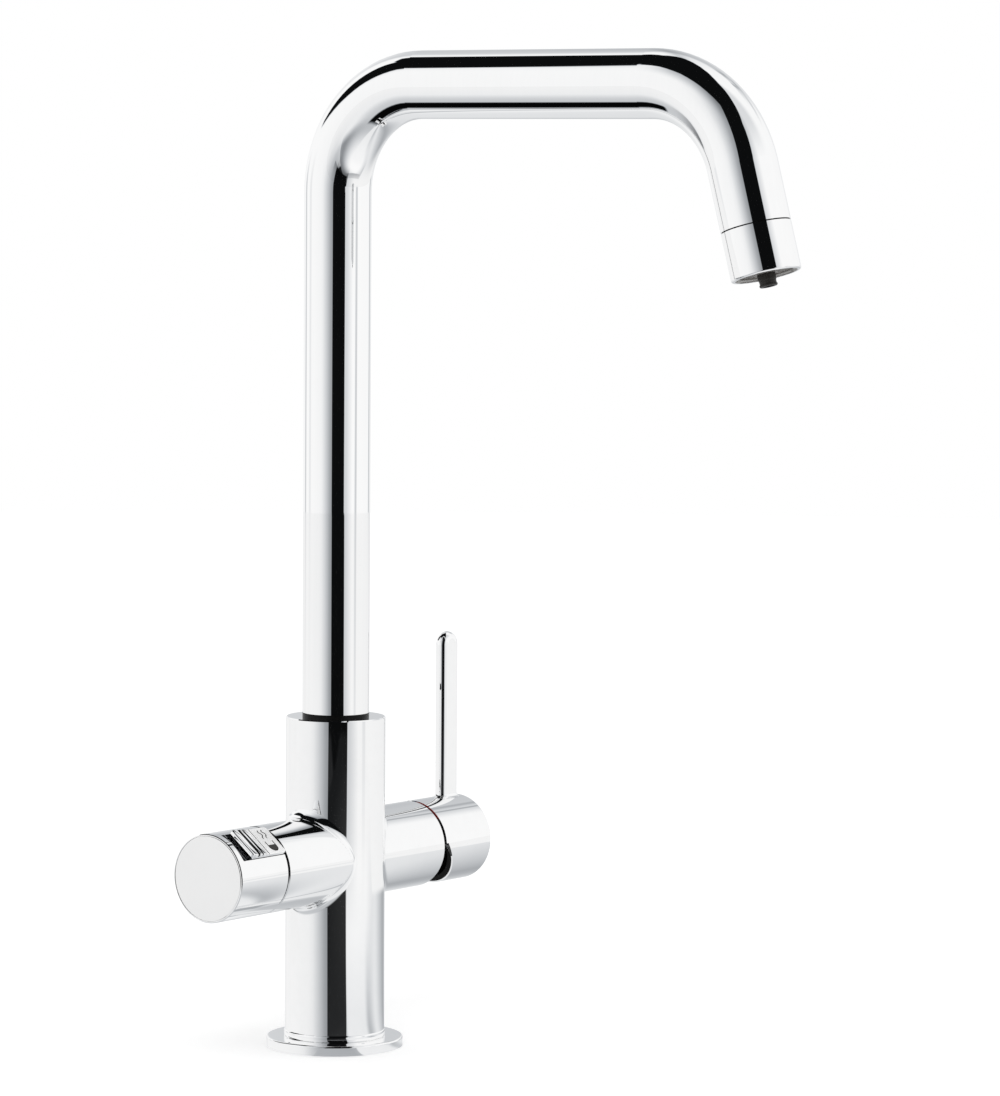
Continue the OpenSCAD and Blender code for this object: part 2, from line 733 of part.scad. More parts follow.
// Side view of the thumb catch: ridges that rise away from the column, over a scooped end
function catch_side() = concat(
    [[button_top - button_plate_t, catch_in]],
    [[button_top, catch_in]],
    [for (i = [0:ridge_count - 1], p = [[0, 0], [0.15, 0.35], [0.62, 0.35], [0.8, -0.25]])
        [button_top + p[1] + i*ridge_step*(p[1] < 0 ? 0.5 : 1),
         catch_in + catch_lead + (i + p[0])*ridge_pitch]],
    [[button_top + ridge_count*ridge_step, button_out - 0.8],
     [button_top + ridge_count*ridge_step - 0.3, button_out - 0.3],
     [button_top - button_plate_t, button_out]]);

module safety_button() color(satin) button_frame() {
    half = button_w/2;
    difference() {
        union() {
            // Upper plate, rounded beside the seam
            translate([button_top - button_plate_t, 0, 0]) rotate([90, 0, 90])
                linear_extrude(button_plate_t) union() {
                    translate([-half, button_in + button_corner_r])
                        square([button_w, button_len - button_corner_r]);
                    translate([-half + button_corner_r, button_in])
                        square([button_w - 2*button_corner_r, button_corner_r + 1]);
                    for (s = [-1, 1])
                        translate([s*(half - button_corner_r), button_in + button_corner_r])
                            circle(r = button_corner_r, $fn = 48);
                }
            // Slider below it, with a rail along each side
            translate([button_floor + slide_gap, -half + block_side, block_in])
                cube([button_top - button_floor - slide_gap - join, button_w - 2*block_side,
                      block_out - block_in]);
            translate([button_floor + slide_gap, -half - rail_w, block_in])
                cube([rail_top - button_floor - 2*slide_gap, button_w + 2*rail_w,
                      block_out - block_in - rail_short]);
            // Thumb catch
            rotate([90, 0, 0]) linear_extrude(button_w - 2*catch_side_gap, center = true)
                polygon(catch_side());
        }
        // Scoop under the catch
        translate([button_floor + underscoop_rise, 0, button_out + underscoop_off]) rotate([90, 0, 0])
            cylinder(r = underscoop_r, h = button_w + 4*rail_w, center = true);
    }
}

// Mixer

module mixer_cartridge() color(grey) right_arm() difference() {
    bar(cartridge_r, base_out, cartridge_end, 0, 0.3);
    translate([0, 0, base_out - over])
        cylinder(r = mixer_chamber_r, h = cartridge_end - cartridge_lip - base_out + over);
    translate([0, 0, base_out]) cylinder(r = carrier_r + running_gap, h = cartridge_end);
}

module mixer_cartridge_base() color(grey) right_arm() difference() {
    bar(cartridge_r, arm_bore_floor, base_out - seat_gap, 0.5, 0);
    for (a = [90, 210, 330]) rotate(a) translate([mixer_port_off, 0, arm_bore_floor - over])
        cylinder(r = mixer_port_r, h = base_out);
}

module mixer_fixed_disc() color(ceramic) right_arm() difference() {
    translate([0, 0, base_out]) cylinder(r = mixer_chamber_r - running_gap, h = disc_t);
    for (a = [90, 210, 330]) rotate(a) translate([mixer_port_off, 0, base_out - over])
        cylinder(r = mixer_port_r, h = disc_t + 2*over);
}

// The sliding disc, with the pocket that the stem's tip moves
module mixer_sliding_disc() color(ceramic) right_arm() difference() {
    translate([0, 0, slider_in]) cylinder(r = slider_r, h = slider_out - slider_in);
    translate([-tip_r - tip_gap, -stem_w/2 - pocket_play, stem_tip - tip_r - pocket_floor])
        cube([2*(tip_r + tip_gap), stem_w + 2*pocket_play, tip_lever]);
}

module mixer_carrier() color(black) right_arm() difference() {
    union() {
        bar(carrier_flange_r, carrier_in, carrier_flange_out, 0.2, 0.2);
        bar(carrier_r, carrier_in, carrier_out, 0, 1);
    }
    translate([-stem_slot_half, -stem_w/2 - slot_play, carrier_in - over])
        cube([2*stem_slot_half, stem_w + 2*slot_play, carrier_out]);
    translate([0, 0, pivot_reach]) rotate([90, 0, 0])
        cylinder(r = pivot_pin_r + seat_gap, h = 2*pin_half + 0.1, center = true);
}

module mixer_pivot_pin() color(steel) right_arm() translate([0, 0, pivot_reach])
    rotate([90, 0, 0]) cylinder(r = pivot_pin_r, h = 2*pin_half, center = true);

module mixer_stem() color(steel) right_arm() difference() {
    union() {
        translate([-stem_h/2, -stem_w/2, pivot_reach - 4])
            cube([stem_h, stem_w, stem_reach - pivot_reach + 4]);
        translate([-stem_neck_h/2, -stem_w/2 + 1, stem_tip])
            cube([stem_neck_h, stem_w - 2, pivot_reach - 3 - stem_tip]);
        translate([0, 0, stem_tip]) rotate([90, 0, 0])
            cylinder(r = tip_r, h = stem_w - 1, center = true);
    }
    translate([0, 0, pivot_reach]) rotate([90, 0, 0])
        cylinder(r = pivot_pin_r + running_gap, h = stem_w + 2*over, center = true);
}

module mixer_ring_nut() color(brass) right_arm() difference() {
    bar(cartridge_r, cartridge_end + seat_gap, neck_out, 0.3, 0.3);
    nut_bore(carrier_r + carrier_nut_play);
}

module temperature_ring() color(hot_red) right_arm()
    ring(ring_in_r, ring_out_r, arm_reach, arm_reach + ring_t);

// Side view of the relief cut: the knob's lower rim leans away from the arm
function relief_side() = [
    [relief_start, knob_in - over], [relief_start, knob_in + relief_step],
    [-arm_r - over, knob_in + relief_step + (relief_start + arm_r + over)*tan(relief_angle)],
    [-arm_r - over, knob_in - over]];

// Half of the lever's section: flat faces and a full-round edge
module lever_half() {
    translate([0, -lever_t/2]) square([lever_flat_half, lever_t]);
    intersection() {
        translate([lever_flat_half, 0]) circle(d = lever_t);
        translate([lever_flat_half, -lever_t/2]) square([lever_t, lever_t]);
    }
}

module lever_bar() {
    linear_extrude(lever_straight) {
        lever_half();
        mirror([1, 0]) lever_half();
    }
    translate([0, 0, lever_straight]) rotate([90, 0, 0]) rotate_extrude(angle = 180) lever_half();
}

module mixer_lever() color(chrome) right_arm() difference() {
    union() {
        rotate_extrude() difference() {
            translate([0, knob_in]) square([arm_r, knob_len]);
            corner(arm_r, knob_out, knob_round, -1, -1);
        }
        translate([0, 0, lever_reach]) rotate([0, 90, 0]) lever_bar();
    }
    // Hollow round the stem's hub
    difference() {
        translate([0, 0, knob_in - over]) cylinder(r = knob_bore_r, h = knob_floor - knob_in + over);
        translate([0, 0, knob_hub_in]) cylinder(r = knob_hub_r, h = knob_len);
    }
    // Socket for the stem and hole for its grub screw
    translate([-stem_h/2 - seat_gap, -stem_w/2 - seat_gap, knob_hub_in - over])
        cube([stem_h + 2*seat_gap, stem_w + 2*seat_gap, stem_reach + socket_gap - knob_hub_in + over]);
    translate([0, 0, grub_reach]) rotate([0, -90, 0]) cylinder(r = grub_r, h = arm_r + over);
    // Relief under the knob, which lets it tip towards the arm
    rotate([90, 0, 0]) linear_extrude(arm_d + 2*over, center = true) polygon(relief_side());
}

module mixer_grub_screw() color(steel) right_arm() translate([0, 0, grub_reach])
    rotate([0, -90, 0]) difference() {
        translate([0, 0, stem_h/2 + seat_gap]) bar(grub_r - seat_gap, 0, grub_len, 0.4, 0.2);
        translate([0, 0, stem_h/2 + grub_len - grub_socket])
            cylinder(d = grub_d/2, h = grub_socket + over, $fn = 6);
    }

tap_body();
base_flange();
base_gasket();
mounting_shank();
rubber_washer();
steel_washer();
fixing_nut();
spout_bush();
spout_stop_screw();
spout_tube();
spout_foot();
spout_seals();
boiling_water_pipe();
outlet_collar();
outlet_insert();
boiling_nozzle();
boiling_cartridge();
boiling_fixed_disc();
boiling_turning_disc();
boiling_spindle();
boiling_ring_nut();
boiling_handle();
handle_end_cap();
handle_screw();
safety_button();
mixer_cartridge();
mixer_cartridge_base();
mixer_fixed_disc();
mixer_sliding_disc();
mixer_carrier();
mixer_pivot_pin();
mixer_stem();
mixer_ring_nut();
temperature_ring();
mixer_lever();
mixer_grub_screw();
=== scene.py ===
"""Boiling water tap: finishes, fine pieces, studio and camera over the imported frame."""

import logging
import math
from dataclasses import dataclass
from enum import Enum

import bpy
import numpy as np
from mathutils import Matrix, Vector


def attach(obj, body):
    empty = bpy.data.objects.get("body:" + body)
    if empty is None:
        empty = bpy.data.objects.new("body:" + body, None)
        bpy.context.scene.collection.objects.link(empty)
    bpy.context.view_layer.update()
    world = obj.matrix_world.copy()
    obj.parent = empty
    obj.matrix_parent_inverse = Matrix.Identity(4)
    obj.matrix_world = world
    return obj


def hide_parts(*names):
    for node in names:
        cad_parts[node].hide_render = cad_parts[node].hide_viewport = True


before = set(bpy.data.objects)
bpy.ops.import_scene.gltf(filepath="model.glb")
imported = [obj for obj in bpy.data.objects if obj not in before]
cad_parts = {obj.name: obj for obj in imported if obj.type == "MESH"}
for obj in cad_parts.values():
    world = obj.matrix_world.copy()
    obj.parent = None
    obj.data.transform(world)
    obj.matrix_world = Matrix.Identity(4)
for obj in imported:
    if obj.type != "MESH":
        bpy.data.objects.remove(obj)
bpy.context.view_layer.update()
LOG = logging.getLogger("tap")
MM = 0.001
DEGREES = 180 / math.pi
WHITE = (1.0, 1.0, 1.0)
COOL = (0.935, 1.0, 1.08)

Pair = tuple[float, float]
Triple = tuple[float, float, float]
Line = tuple[Pair, ...]


class Wire:
    """A socket used in an expression; each operator adds one Math node."""

    def __init__(self, sheet: "Sheet", socket: bpy.types.NodeSocket) -> None:
        """Keeps the socket and the sheet that it is on."""
        self.sheet, self.socket = sheet, socket

    def also(self, name: str) -> "Wire":
        """Another output of the same node."""
        return Wire(self.sheet, self.sheet.find(self.socket.node.outputs, name))

    def __add__(self, other: "Wire | float") -> "Wire":
        """Sum."""
        return self.sheet.math("ADD", self, other)

    __radd__ = __add__

    def __sub__(self, other: "Wire | float") -> "Wire":
        """Difference."""
        return self.sheet.math("SUBTRACT", self, other)

    def __rsub__(self, other: "Wire | float") -> "Wire":
        """Difference, the other way round."""
        return self.sheet.math("SUBTRACT", other, self)

    def __mul__(self, other: "Wire | float") -> "Wire":
        """Product."""
        return self.sheet.math("MULTIPLY", self, other)

    __rmul__ = __mul__

    def __truediv__(self, other: "Wire | float") -> "Wire":
        """Quotient."""
        return self.sheet.math("DIVIDE", self, other)

    def __pow__(self, other: "Wire | float") -> "Wire":
        """Power."""
        return self.sheet.math("POWER", self, other)

    def rise(self, low: "Wire | float", high: "Wire | float") -> "Wire":
        """A smooth step from 0 at low to 1 at high."""
        return self.sheet.add("MapRange", {"interpolation_type": "SMOOTHSTEP"},
                              {"Value": self, "From Min": low, "From Max": high})

    def between(self, low: "Wire | float", high: "Wire | float", soft: float) -> "Wire":
        """1 from low to high, fading over soft on either side."""
        return self.rise(low - soft, low + soft) * (1 - self.rise(high - soft, high + soft))

    def along(self, stops: Line) -> "Wire":
        """The height of a line here.

        Args:
            stops: The line's (place, value) corners, with values from 0 to 1.

        Returns:
            Its value.
        """
        low, high = stops[0][0], stops[-1][0]
        marks = [((place - low) / (high - low), value) for place, value in stops]
        return self.sheet.add("ValToRGB", {"stops": marks},
                              {"Fac": (self - low) / (high - low)})

    def inside(self, other: "Wire", outline: Line, soft: float) -> "Wire":
        """1 within a convex outline.

        Args:
            other: The second coordinate.
            outline: Its corners, anticlockwise.
            soft: How far its edge fades on either side.

        Returns:
            The mask.
        """
        mask = 1.0
        for (x0, y0), (x1, y1) in zip(outline, outline[1:] + outline[:1]):
            long = math.hypot(x1 - x0, y1 - y0)
            across = (other - y0) * ((x1 - x0) / long) - (self - x0) * ((y1 - y0) / long)
            mask = across.rise(-soft, soft) * mask
        return mask


class Sheet:
    """The nodes of one material or world."""

    def __init__(self, tree: bpy.types.NodeTree) -> None:
        """Starts from an empty tree."""
        tree.nodes.clear()
        self.tree = tree

    @staticmethod
    def find(sockets: bpy.types.bpy_prop_collection, key: "str | int") -> bpy.types.NodeSocket:
        """The socket with that index, identifier or name."""
        named = (s for s in sockets if s.identifier == key)
        return sockets[key] if isinstance(key, int) else next(named, None) or sockets[key]

    def add(self, kind: str, settings: "dict | None" = None, inputs: "dict | None" = None,
            output: "str | int" = 0) -> Wire:
        """Adds any node.

        Args:
            kind: The node's type, without ShaderNode.
            settings: Its own settings; "stops" is a ramp's (place, grey) pairs.
            inputs: Values or wires for its sockets.
            output: The output that is wanted.

        Returns:
            That output.
        """
        node = self.tree.nodes.new("ShaderNode" + kind)
        for key, value in (settings or {}).items():
            if key == "stops":
                marks = node.color_ramp.elements
                marks.remove(marks[1])
                for i, (place, grey) in enumerate(value):
                    mark = marks.new(place) if i else marks[0]
                    mark.position, mark.color = place, (grey, grey, grey, 1)
            else:
                setattr(node, key, value)
        for key, value in (inputs or {}).items():
            socket = self.find(node.inputs, key)
            if isinstance(value, Wire):
                self.tree.links.new(value.socket, socket)
            else:
                socket.default_value = value
        return Wire(self, self.find(node.outputs, output))

    def math(self, operation: str, *values: "Wire | float") -> Wire:
        """A Math node of the given values."""
        return self.add("Math", {"operation": operation}, dict(enumerate(values)))

    def blend(self, factor: "Wire | float", first: "Triple | Wire",
              second: "Triple | Wire") -> Wire:
        """A mix of two colours."""
        ends = [c if isinstance(c, Wire) else (*c, 1) for c in (first, second)]
        return self.add("Mix", {"data_type": "RGBA"},
                        {"Factor_Float": factor, "A_Color": ends[0], "B_Color": ends[1]},
                        "Result_Color")

    def close(self, surface: Wire, kind: str = "Material") -> None:
        """Ends the tree with the given surface."""
        output = self.tree.nodes.new("ShaderNodeOutput" + kind)
        self.tree.links.new(surface.socket, output.inputs[0])

    def noise(self, place: Wire, scale: float, detail: float = 3.0) -> Wire:
        """Soft noise from 0 to 1, so many features to the metre."""
        return self.add("TexNoise", {}, {"Vector": place, "Scale": scale, "Detail": detail})


class Grain(Enum):
    """How a surface was made, which is what its fine detail follows."""

    POLISHED = "polished and plated"
    TURNED = "turned on a lathe"
    DRAWN = "drawn to length"
    MOULDED = "moulded"
    FIRED = "fired and lapped"


@dataclass(frozen=True)
class Finish:
    """One finish: its colour, its gloss and the fine detail of how it was made."""

    name: str
    slot: str
    colour: Triple
    shade: Triple
    roughness: float
    spread: float
    grain: Grain
    size: float
    metallic: float = 0.0
    coat: float = 0.0
    relief: float = 0.0
    axis: Triple = (0.0, 0.0, 1.0)
    shine: float = 0.5
    stretch: float = 0.02
    broad_scale: float = 60.0
    fine_share: float = 0.6
    shade_from: Pair = (0.3, 0.75)
    bump: float = 0.35
    coat_rough: float = 0.08

    def detail(self, sheet: Sheet, place: Wire) -> Wire:
        """The finish's own pattern.

        Args:
            sheet: The material's nodes.
            place: A point of the object, in metres.

        Returns:
            The pattern, from 0 to 1.
        """
        per_metre = 1 / self.size
        if self.grain in (Grain.TURNED, Grain.DRAWN):
            along, across = 1.0, self.stretch
            if self.grain is Grain.DRAWN:
                along, across = across, along
            squeeze = tuple(along if abs(c) > 0.5 else across for c in self.axis)
            lines = sheet.add("VectorMath", {"operation": "MULTIPLY"}, {0: place, 1: squeeze})
            return sheet.noise(lines, per_metre, 4.0)
        if self.grain is Grain.FIRED:
            return sheet.add("TexVoronoi", {}, {"Vector": place, "Scale": per_metre}, "Distance")
        return sheet.noise(place, per_metre, 5.0)

    def material(self) -> bpy.types.Material:
        """The finish as a material, made once.

        Returns:
            The material.
        """
        if self.name in bpy.data.materials:
            return bpy.data.materials[self.name]
        made = bpy.data.materials.new(self.name)
        made.use_nodes = True
        sheet = Sheet(made.node_tree)
        place = sheet.add("TexCoord", output="Object")
        fine = self.detail(sheet, place)
        broad = sheet.noise(place, self.broad_scale, 2.0)
        tone = fine * self.fine_share + broad * (1 - self.fine_share)
        inputs = {
            "Base Color": sheet.blend(tone.rise(*self.shade_from), self.colour, self.shade),
            "Roughness": self.roughness + self.spread * (tone - 0.5),
            "Metallic": self.metallic,
            "Coat Weight": self.coat,
            "Coat Roughness": self.coat_rough,
            "Specular IOR Level": self.shine,
        }
        if self.relief:
            inputs["Normal"] = sheet.add("Bump", {}, {"Strength": self.bump,
                                                      "Distance": self.relief,
                                                      "Height": fine}, "Normal")
        sheet.close(sheet.add("BsdfPrincipled", {}, inputs))
        return made


CAST_CHROME = Finish("cast_chrome", "chrome", (0.968, 0.968, 0.968), (0.95, 0.951, 0.952),
                     0.018, 0.02, Grain.POLISHED, 0.004, 1.0)
TUBE_CHROME = Finish("tube_chrome", "chrome", (0.966, 0.966, 0.966), (0.95, 0.951, 0.952),
                     0.016, 0.016, Grain.DRAWN, 0.0015, 1.0)
CAP_CHROME = Finish("cap_chrome", "satin_metal", (0.93, 0.928, 0.926), (0.912, 0.911, 0.91),
                    0.12, 0.05, Grain.TURNED, 0.0006, 1.0, axis=(1.0, 0.0, 0.0))
BUTTON_SATIN = Finish("button_satin", "satin_metal", (0.96, 0.96, 0.96), (0.92, 0.921, 0.923),
                      0.24, 0.05, Grain.POLISHED, 0.002, 0.15)
TURNED_BRASS = Finish("turned_brass", "brass", (0.76, 0.57, 0.27), (0.66, 0.47, 0.2),
                      0.24, 0.14, Grain.TURNED, 0.0006, 1.0, relief=0.00004)
SIDE_BRASS = Finish("side_turned_brass", "brass", (0.76, 0.57, 0.27), (0.66, 0.47, 0.2),
                    0.24, 0.14, Grain.TURNED, 0.0006, 1.0, relief=0.00004,
                    axis=(1.0, 0.0, 0.0))
SCREW_STEEL = Finish("screw_steel", "steel", (0.6, 0.61, 0.62), (0.48, 0.49, 0.5),
                     0.28, 0.16, Grain.TURNED, 0.0005, 1.0, relief=0.00003)
PIPE_STEEL = Finish("pipe_steel", "steel", (0.62, 0.62, 0.62), (0.52, 0.52, 0.53),
                    0.3, 0.12, Grain.DRAWN, 0.001, 1.0, relief=0.00002)
BLACK_RUBBER = Finish("black_rubber", "rubber", (0.02, 0.02, 0.021), (0.035, 0.034, 0.034),
                      0.7, 0.25, Grain.MOULDED, 0.0008, relief=0.0001)
BLACK_PLASTIC = Finish("black_plastic", "black_plastic", (0.012, 0.012, 0.013),
                       (0.02, 0.02, 0.021), 0.32, 0.12, Grain.MOULDED, 0.0006, relief=0.00003)
SEAL_RUBBER = Finish("seal_rubber", "rubber", (0.004, 0.004, 0.004), (0.008, 0.008, 0.008),
                     0.6, 0.2, Grain.MOULDED, 0.0005, relief=0.00003, shine=0.1)
GREY_PLASTIC = Finish("grey_plastic", "grey_plastic", (0.085, 0.082, 0.078),
                      (0.062, 0.06, 0.058), 0.42, 0.14, Grain.MOULDED, 0.0007, relief=0.00004)
NOZZLE_PLASTIC = Finish("nozzle_plastic", "grey_plastic", (0.022, 0.021, 0.019),
                        (0.036, 0.034, 0.031), 0.38, 0.12, Grain.MOULDED, 0.0006,
                        relief=0.00003, shine=0.22)
FIN_PLASTIC = Finish("fin_plastic", "grey_plastic", (0.3, 0.29, 0.275), (0.24, 0.232, 0.22),
                     0.4, 0.14, Grain.MOULDED, 0.0006, relief=0.00003, shine=0.3)
DARK_STEEL = Finish("dark_steel", "steel", (0.05, 0.05, 0.052), (0.03, 0.03, 0.031),
                    0.3, 0.16, Grain.TURNED, 0.0005, 0.6, relief=0.00003,
                    axis=(1.0, 0.0, 0.0), shine=0.3)
LAPPED_CERAMIC = Finish("lapped_ceramic", "ceramic", (0.8, 0.78, 0.72), (0.74, 0.72, 0.67),
                        0.12, 0.08, Grain.FIRED, 0.0006, coat=0.3)
BUSH_PLASTIC = Finish("bush_plastic", "black_plastic", (0.003, 0.003, 0.003),
                      (0.006, 0.006, 0.006), 0.35, 0.12, Grain.TURNED, 0.0005,
                      relief=0.00002, shine=0.12)
SIGN_ENAMEL = Finish("sign_enamel", "marker", (0.03, 0.028, 0.026), (0.05, 0.046, 0.043),
                     0.35, 0.12, Grain.MOULDED, 0.0004, shine=0.3)


@dataclass(frozen=True)
class RingMarks:
    """The coloured ring in the mixer's seam: a red and a blue quarter, with black below as painted
    seam shade.
    """

    height: float = 0.0764
    mark_low: float = 0.0106
    red: Triple = (0.22, 0.009, 0.006)
    blue: Triple = (0.006, 0.045, 0.28)
    # Below mark_low the ring is black: painted shade of the seam's lower part
    seam_shade_black: Triple = (0.004, 0.004, 0.004)
    mark_edge: float = 0.0006
    middle_edge: float = 0.0002
    speckle: float = 1600.0
    roughness: float = 0.4
    spread: float = 0.15
    shine: float = 0.2
    bump: float = 0.2
    relief: float = 0.00003

    def material(self) -> bpy.types.Material:
        """The ring's material: red at the top towards the front, blue towards the back, painted
        shade below.

        Returns:
            The material.
        """
        made = bpy.data.materials.new("temperature_marks")
        made.use_nodes = True
        sheet = Sheet(made.node_tree)
        place = sheet.add("TexCoord", output="Object")
        side = sheet.add("SeparateXYZ", {}, {0: place}, "Y")
        top = (side.also("Z") - self.height - self.mark_low).rise(0.0, self.mark_edge)
        half = sheet.blend(side.rise(-self.middle_edge, self.middle_edge), self.red, self.blue)
        colour = sheet.blend(top, self.seam_shade_black, half)
        fine = sheet.noise(place, self.speckle)
        sheet.close(sheet.add("BsdfPrincipled", {}, {
            "Base Color": colour, "Roughness": self.roughness + self.spread * fine,
            "Specular IOR Level": self.shine,
            "Normal": sheet.add("Bump", {}, {"Strength": self.bump, "Distance": self.relief,
                                             "Height": fine}, "Normal")}))
        return made


class Maker:
    """Turns points and faces into pieces that ride on the frame."""

    sharp: float = math.radians(32)

    @staticmethod
    def piece(name: str, points: "np.ndarray | list", faces: list, finish: Finish, body: str,
              normals: "np.ndarray | None" = None) -> bpy.types.Object:
        """Makes one piece.

        Args:
            name: The piece's name.
            points: Its corners, in metres.
            faces: Its faces, as tuples of corner numbers.
            finish: What it is finished in.
            body: The body that it moves with.
            normals: One normal for each corner, where the shape gives them exactly.

        Returns:
            The piece.
        """
        mesh = bpy.data.meshes.new(name)
        mesh.from_pydata([tuple(p) for p in points], [], faces)
        mesh.shade_smooth()
        if normals is None:
            mesh.set_sharp_from_angle(angle=Maker.sharp)
        else:
            mesh.normals_split_custom_set_from_vertices([tuple(n) for n in normals])
        mesh.materials.append(finish.material())
        made = bpy.data.objects.new(name, mesh)
        bpy.context.scene.collection.objects.link(made)
        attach(made, body)
        return made

    @staticmethod
    def quads(rows: int, columns: int, around: bool = False) -> list:
        """Faces of a grid of points.

        Args:
            rows: How many rows it has.
            columns: How many points a row has.
            around: Whether each row closes on itself.

        Returns:
            The faces.
        """
        wrap = columns if around else columns - 1
        return [(i * columns + j, i * columns + (j + 1) % columns,
                 (i + 1) * columns + (j + 1) % columns, (i + 1) * columns + j)
                for i in range(rows - 1) for j in range(wrap)]

    @staticmethod
    def loft(rows: list) -> "tuple[np.ndarray, list]":
        """A closed body through rings of points, capped at both ends.

        Args:
            rows: The rings, all with as many points, each anticlockwise seen from the first.

        Returns:
            Its points and faces.
        """
        count = len(rows[0])
        faces = Maker.quads(len(rows), count, True)
        faces += [tuple(range(count))[::-1], tuple(range((len(rows) - 1) * count,
                                                         len(rows) * count))]
        return np.array(rows).reshape(-1, 3), faces

    @staticmethod
    def turned(section: Line, around: int, base: Triple = (0.0, 0.0, 0.0),
               along: Triple = (0.0, 0.0, 1.0)) -> "tuple[np.ndarray, list]":
        """A ring turned about an axis.

        Args:
            section: Its outline, as (radius, place along the axis).
            around: How many steps a full turn has.
            base: The axis's starting point.
            along: The axis's direction.

        Returns:
            Its points and faces.
        """
        side = np.array([1.0, 0.0, 0.0])
        front = np.cross(along, side)
        turns = [2 * math.pi * j / around for j in range(around)]
        points = [np.array(base) + s * np.array(along)
                  + r * (math.cos(a) * side + math.sin(a) * front)
                  for r, s in section + section[:1] for a in turns]
        return np.array(points), Maker.quads(len(section) + 1, around, True)

    @staticmethod
    def dress(finish: "Finish | RingMarks", *names: str) -> None:
        """Gives nodes of the frame a finish.

        Args:
            finish: The finish.
            names: The nodes.
        """
        made = finish.material()
        for name in names:
            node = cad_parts[name]
            for slot in node.material_slots:
                slot.material = made


@dataclass
class Column:
    """The cast body with its base and the fixing under the worktop."""

    column_r: float = 20 * MM
    arm_r: float = 17.5 * MM
    arm_h: float = 76.4 * MM
    cast_round: float = 4 * MM
    shank_r: float = 16 * MM
    shank_bore_r: float = 13 * MM
    shank_low: float = -62 * MM
    shank_high: float = 16.98 * MM
    thread_low: float = -61 * MM
    thread_high: float = -2 * MM
    pitch: float = 2 * MM
    thread_depth: float = 0.9 * MM
    shank_lead: float = 0.5 * MM
    foot_ring: Line = ((19.95, 6.75), (20.15, 6.7), (20.32, 6.5), (20.4, 6.2), (20.4, 4.6),
                       (20.35, 4.25), (20.2, 4.02), (19.95, 4.02))

    def ring(self) -> bpy.types.Object:
        """The turned ring round the column's foot, on the flange."""
        outline = tuple((r * MM, z * MM) for r, z in self.foot_ring[::-1])
        return Maker.piece("foot_ring", *Maker.turned(outline, around=144), CAST_CHROME, "tap")

    def fillet(self, side: int) -> bpy.types.Object:
        """The cast rounding between the column and one arm.

        Args:
            side: 1 for the arm towards +X and -1 for the one towards -X.

        Returns:
            The rounding, a strip that meets both cylinders at their tangents.
        """
        turn, steps = 160, 12
        reach, wide = self.column_r + self.cast_round, self.arm_r + self.cast_round
        points, normals = [], []
        for i in range(turn):
            a = 2 * math.pi * i / turn
            y, z = wide * math.sin(a), wide * math.cos(a)
            x = math.sqrt(reach * reach - y * y)
            arm = np.array([0.0, -math.sin(a), -math.cos(a)])
            column = np.array([-x, -y, 0.0]) / reach
            angle = math.acos(float(np.clip(arm @ column, -1, 1)))
            for k in range(steps + 1):
                t = k / steps
                n = (math.sin((1 - t) * angle) * arm + math.sin(t * angle) * column) \
                    / math.sin(angle)
                p = np.array([x, y, z + self.arm_h]) + self.cast_round * n
                points.append([side * p[0], p[1], p[2]])
                normals.append([-side * n[0], -n[1], -n[2]])
        columns = steps + 1
        faces = []
        for i in range(turn):
            for k in range(steps):
                a, b = i * columns + k, ((i + 1) % turn) * columns + k
                quad = (a, a + 1, b + 1, b)
                faces.append(quad if side < 0 else quad[::-1])
        name = "arm_fillet_right" if side > 0 else "arm_fillet_left"
        return Maker.piece(name, np.array(points), faces, CAST_CHROME, "tap", np.array(normals))

    def shank(self) -> bpy.types.Object:
        """The hollow shank with its thread cut.

        Returns:
            The shank, in place of mounting_shank.
        """
        around, per_turn = 72, 5
        count = int((self.thread_high - self.thread_low) / self.pitch * per_turn)
        heights = [self.shank_low, self.thread_low]
        heights += [self.thread_low + (i + 1) * self.pitch / per_turn for i in range(count)]
        heights += [self.thread_high + 0.5 * self.pitch, self.shank_high]
        rings = []
        for z in heights:
            inside = self.thread_low < z < self.thread_high
            ring = []
            for j in range(around):
                a = 2 * math.pi * j / around
                phase = (z / self.pitch - j / around) % 1.0
                cut = self.thread_depth * (1 - abs(2 * phase - 1)) if inside else 0.0
                r = self.shank_r - cut - (self.shank_lead if z == self.shank_low else 0.0)
                ring.append([r * math.cos(a), r * math.sin(a), z])
            rings.append(ring)
        bore = [(self.shank_bore_r * math.cos(2 * math.pi * j / around),
                 self.shank_bore_r * math.sin(2 * math.pi * j / around)) for j in range(around)]
        rings += [[[x, y, z] for x, y in bore] for z in (self.shank_high, self.shank_low)]
        rows = len(rings)
        faces = Maker.quads(rows, around, True)
        faces += [((rows - 1) * around + j, (rows - 1) * around + (j + 1) % around,
                   (j + 1) % around, j) for j in range(around)]
        made = Maker.piece("threaded_shank", np.array(rings).reshape(-1, 3), faces,
                           TURNED_BRASS, "tap")
        for face in made.data.polygons:
            face.use_smooth = False
        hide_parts("mounting_shank")
        return made

    def build(self) -> None:
        """Builds and dresses the column's pieces."""
        Maker.dress(CAST_CHROME, "tap_body", "base_flange")
        Maker.dress(BLACK_RUBBER, "base_gasket", "rubber_washer")
        Maker.dress(SCREW_STEEL, "steel_washer", "spout_stop_screw")
        Maker.dress(TURNED_BRASS, "fixing_nut")
        for side in (-1, 1):
            LOG.info("made %s", self.fillet(side).name)
        LOG.info("made %s", self.shank().name)
        LOG.info("made %s", self.ring().name)


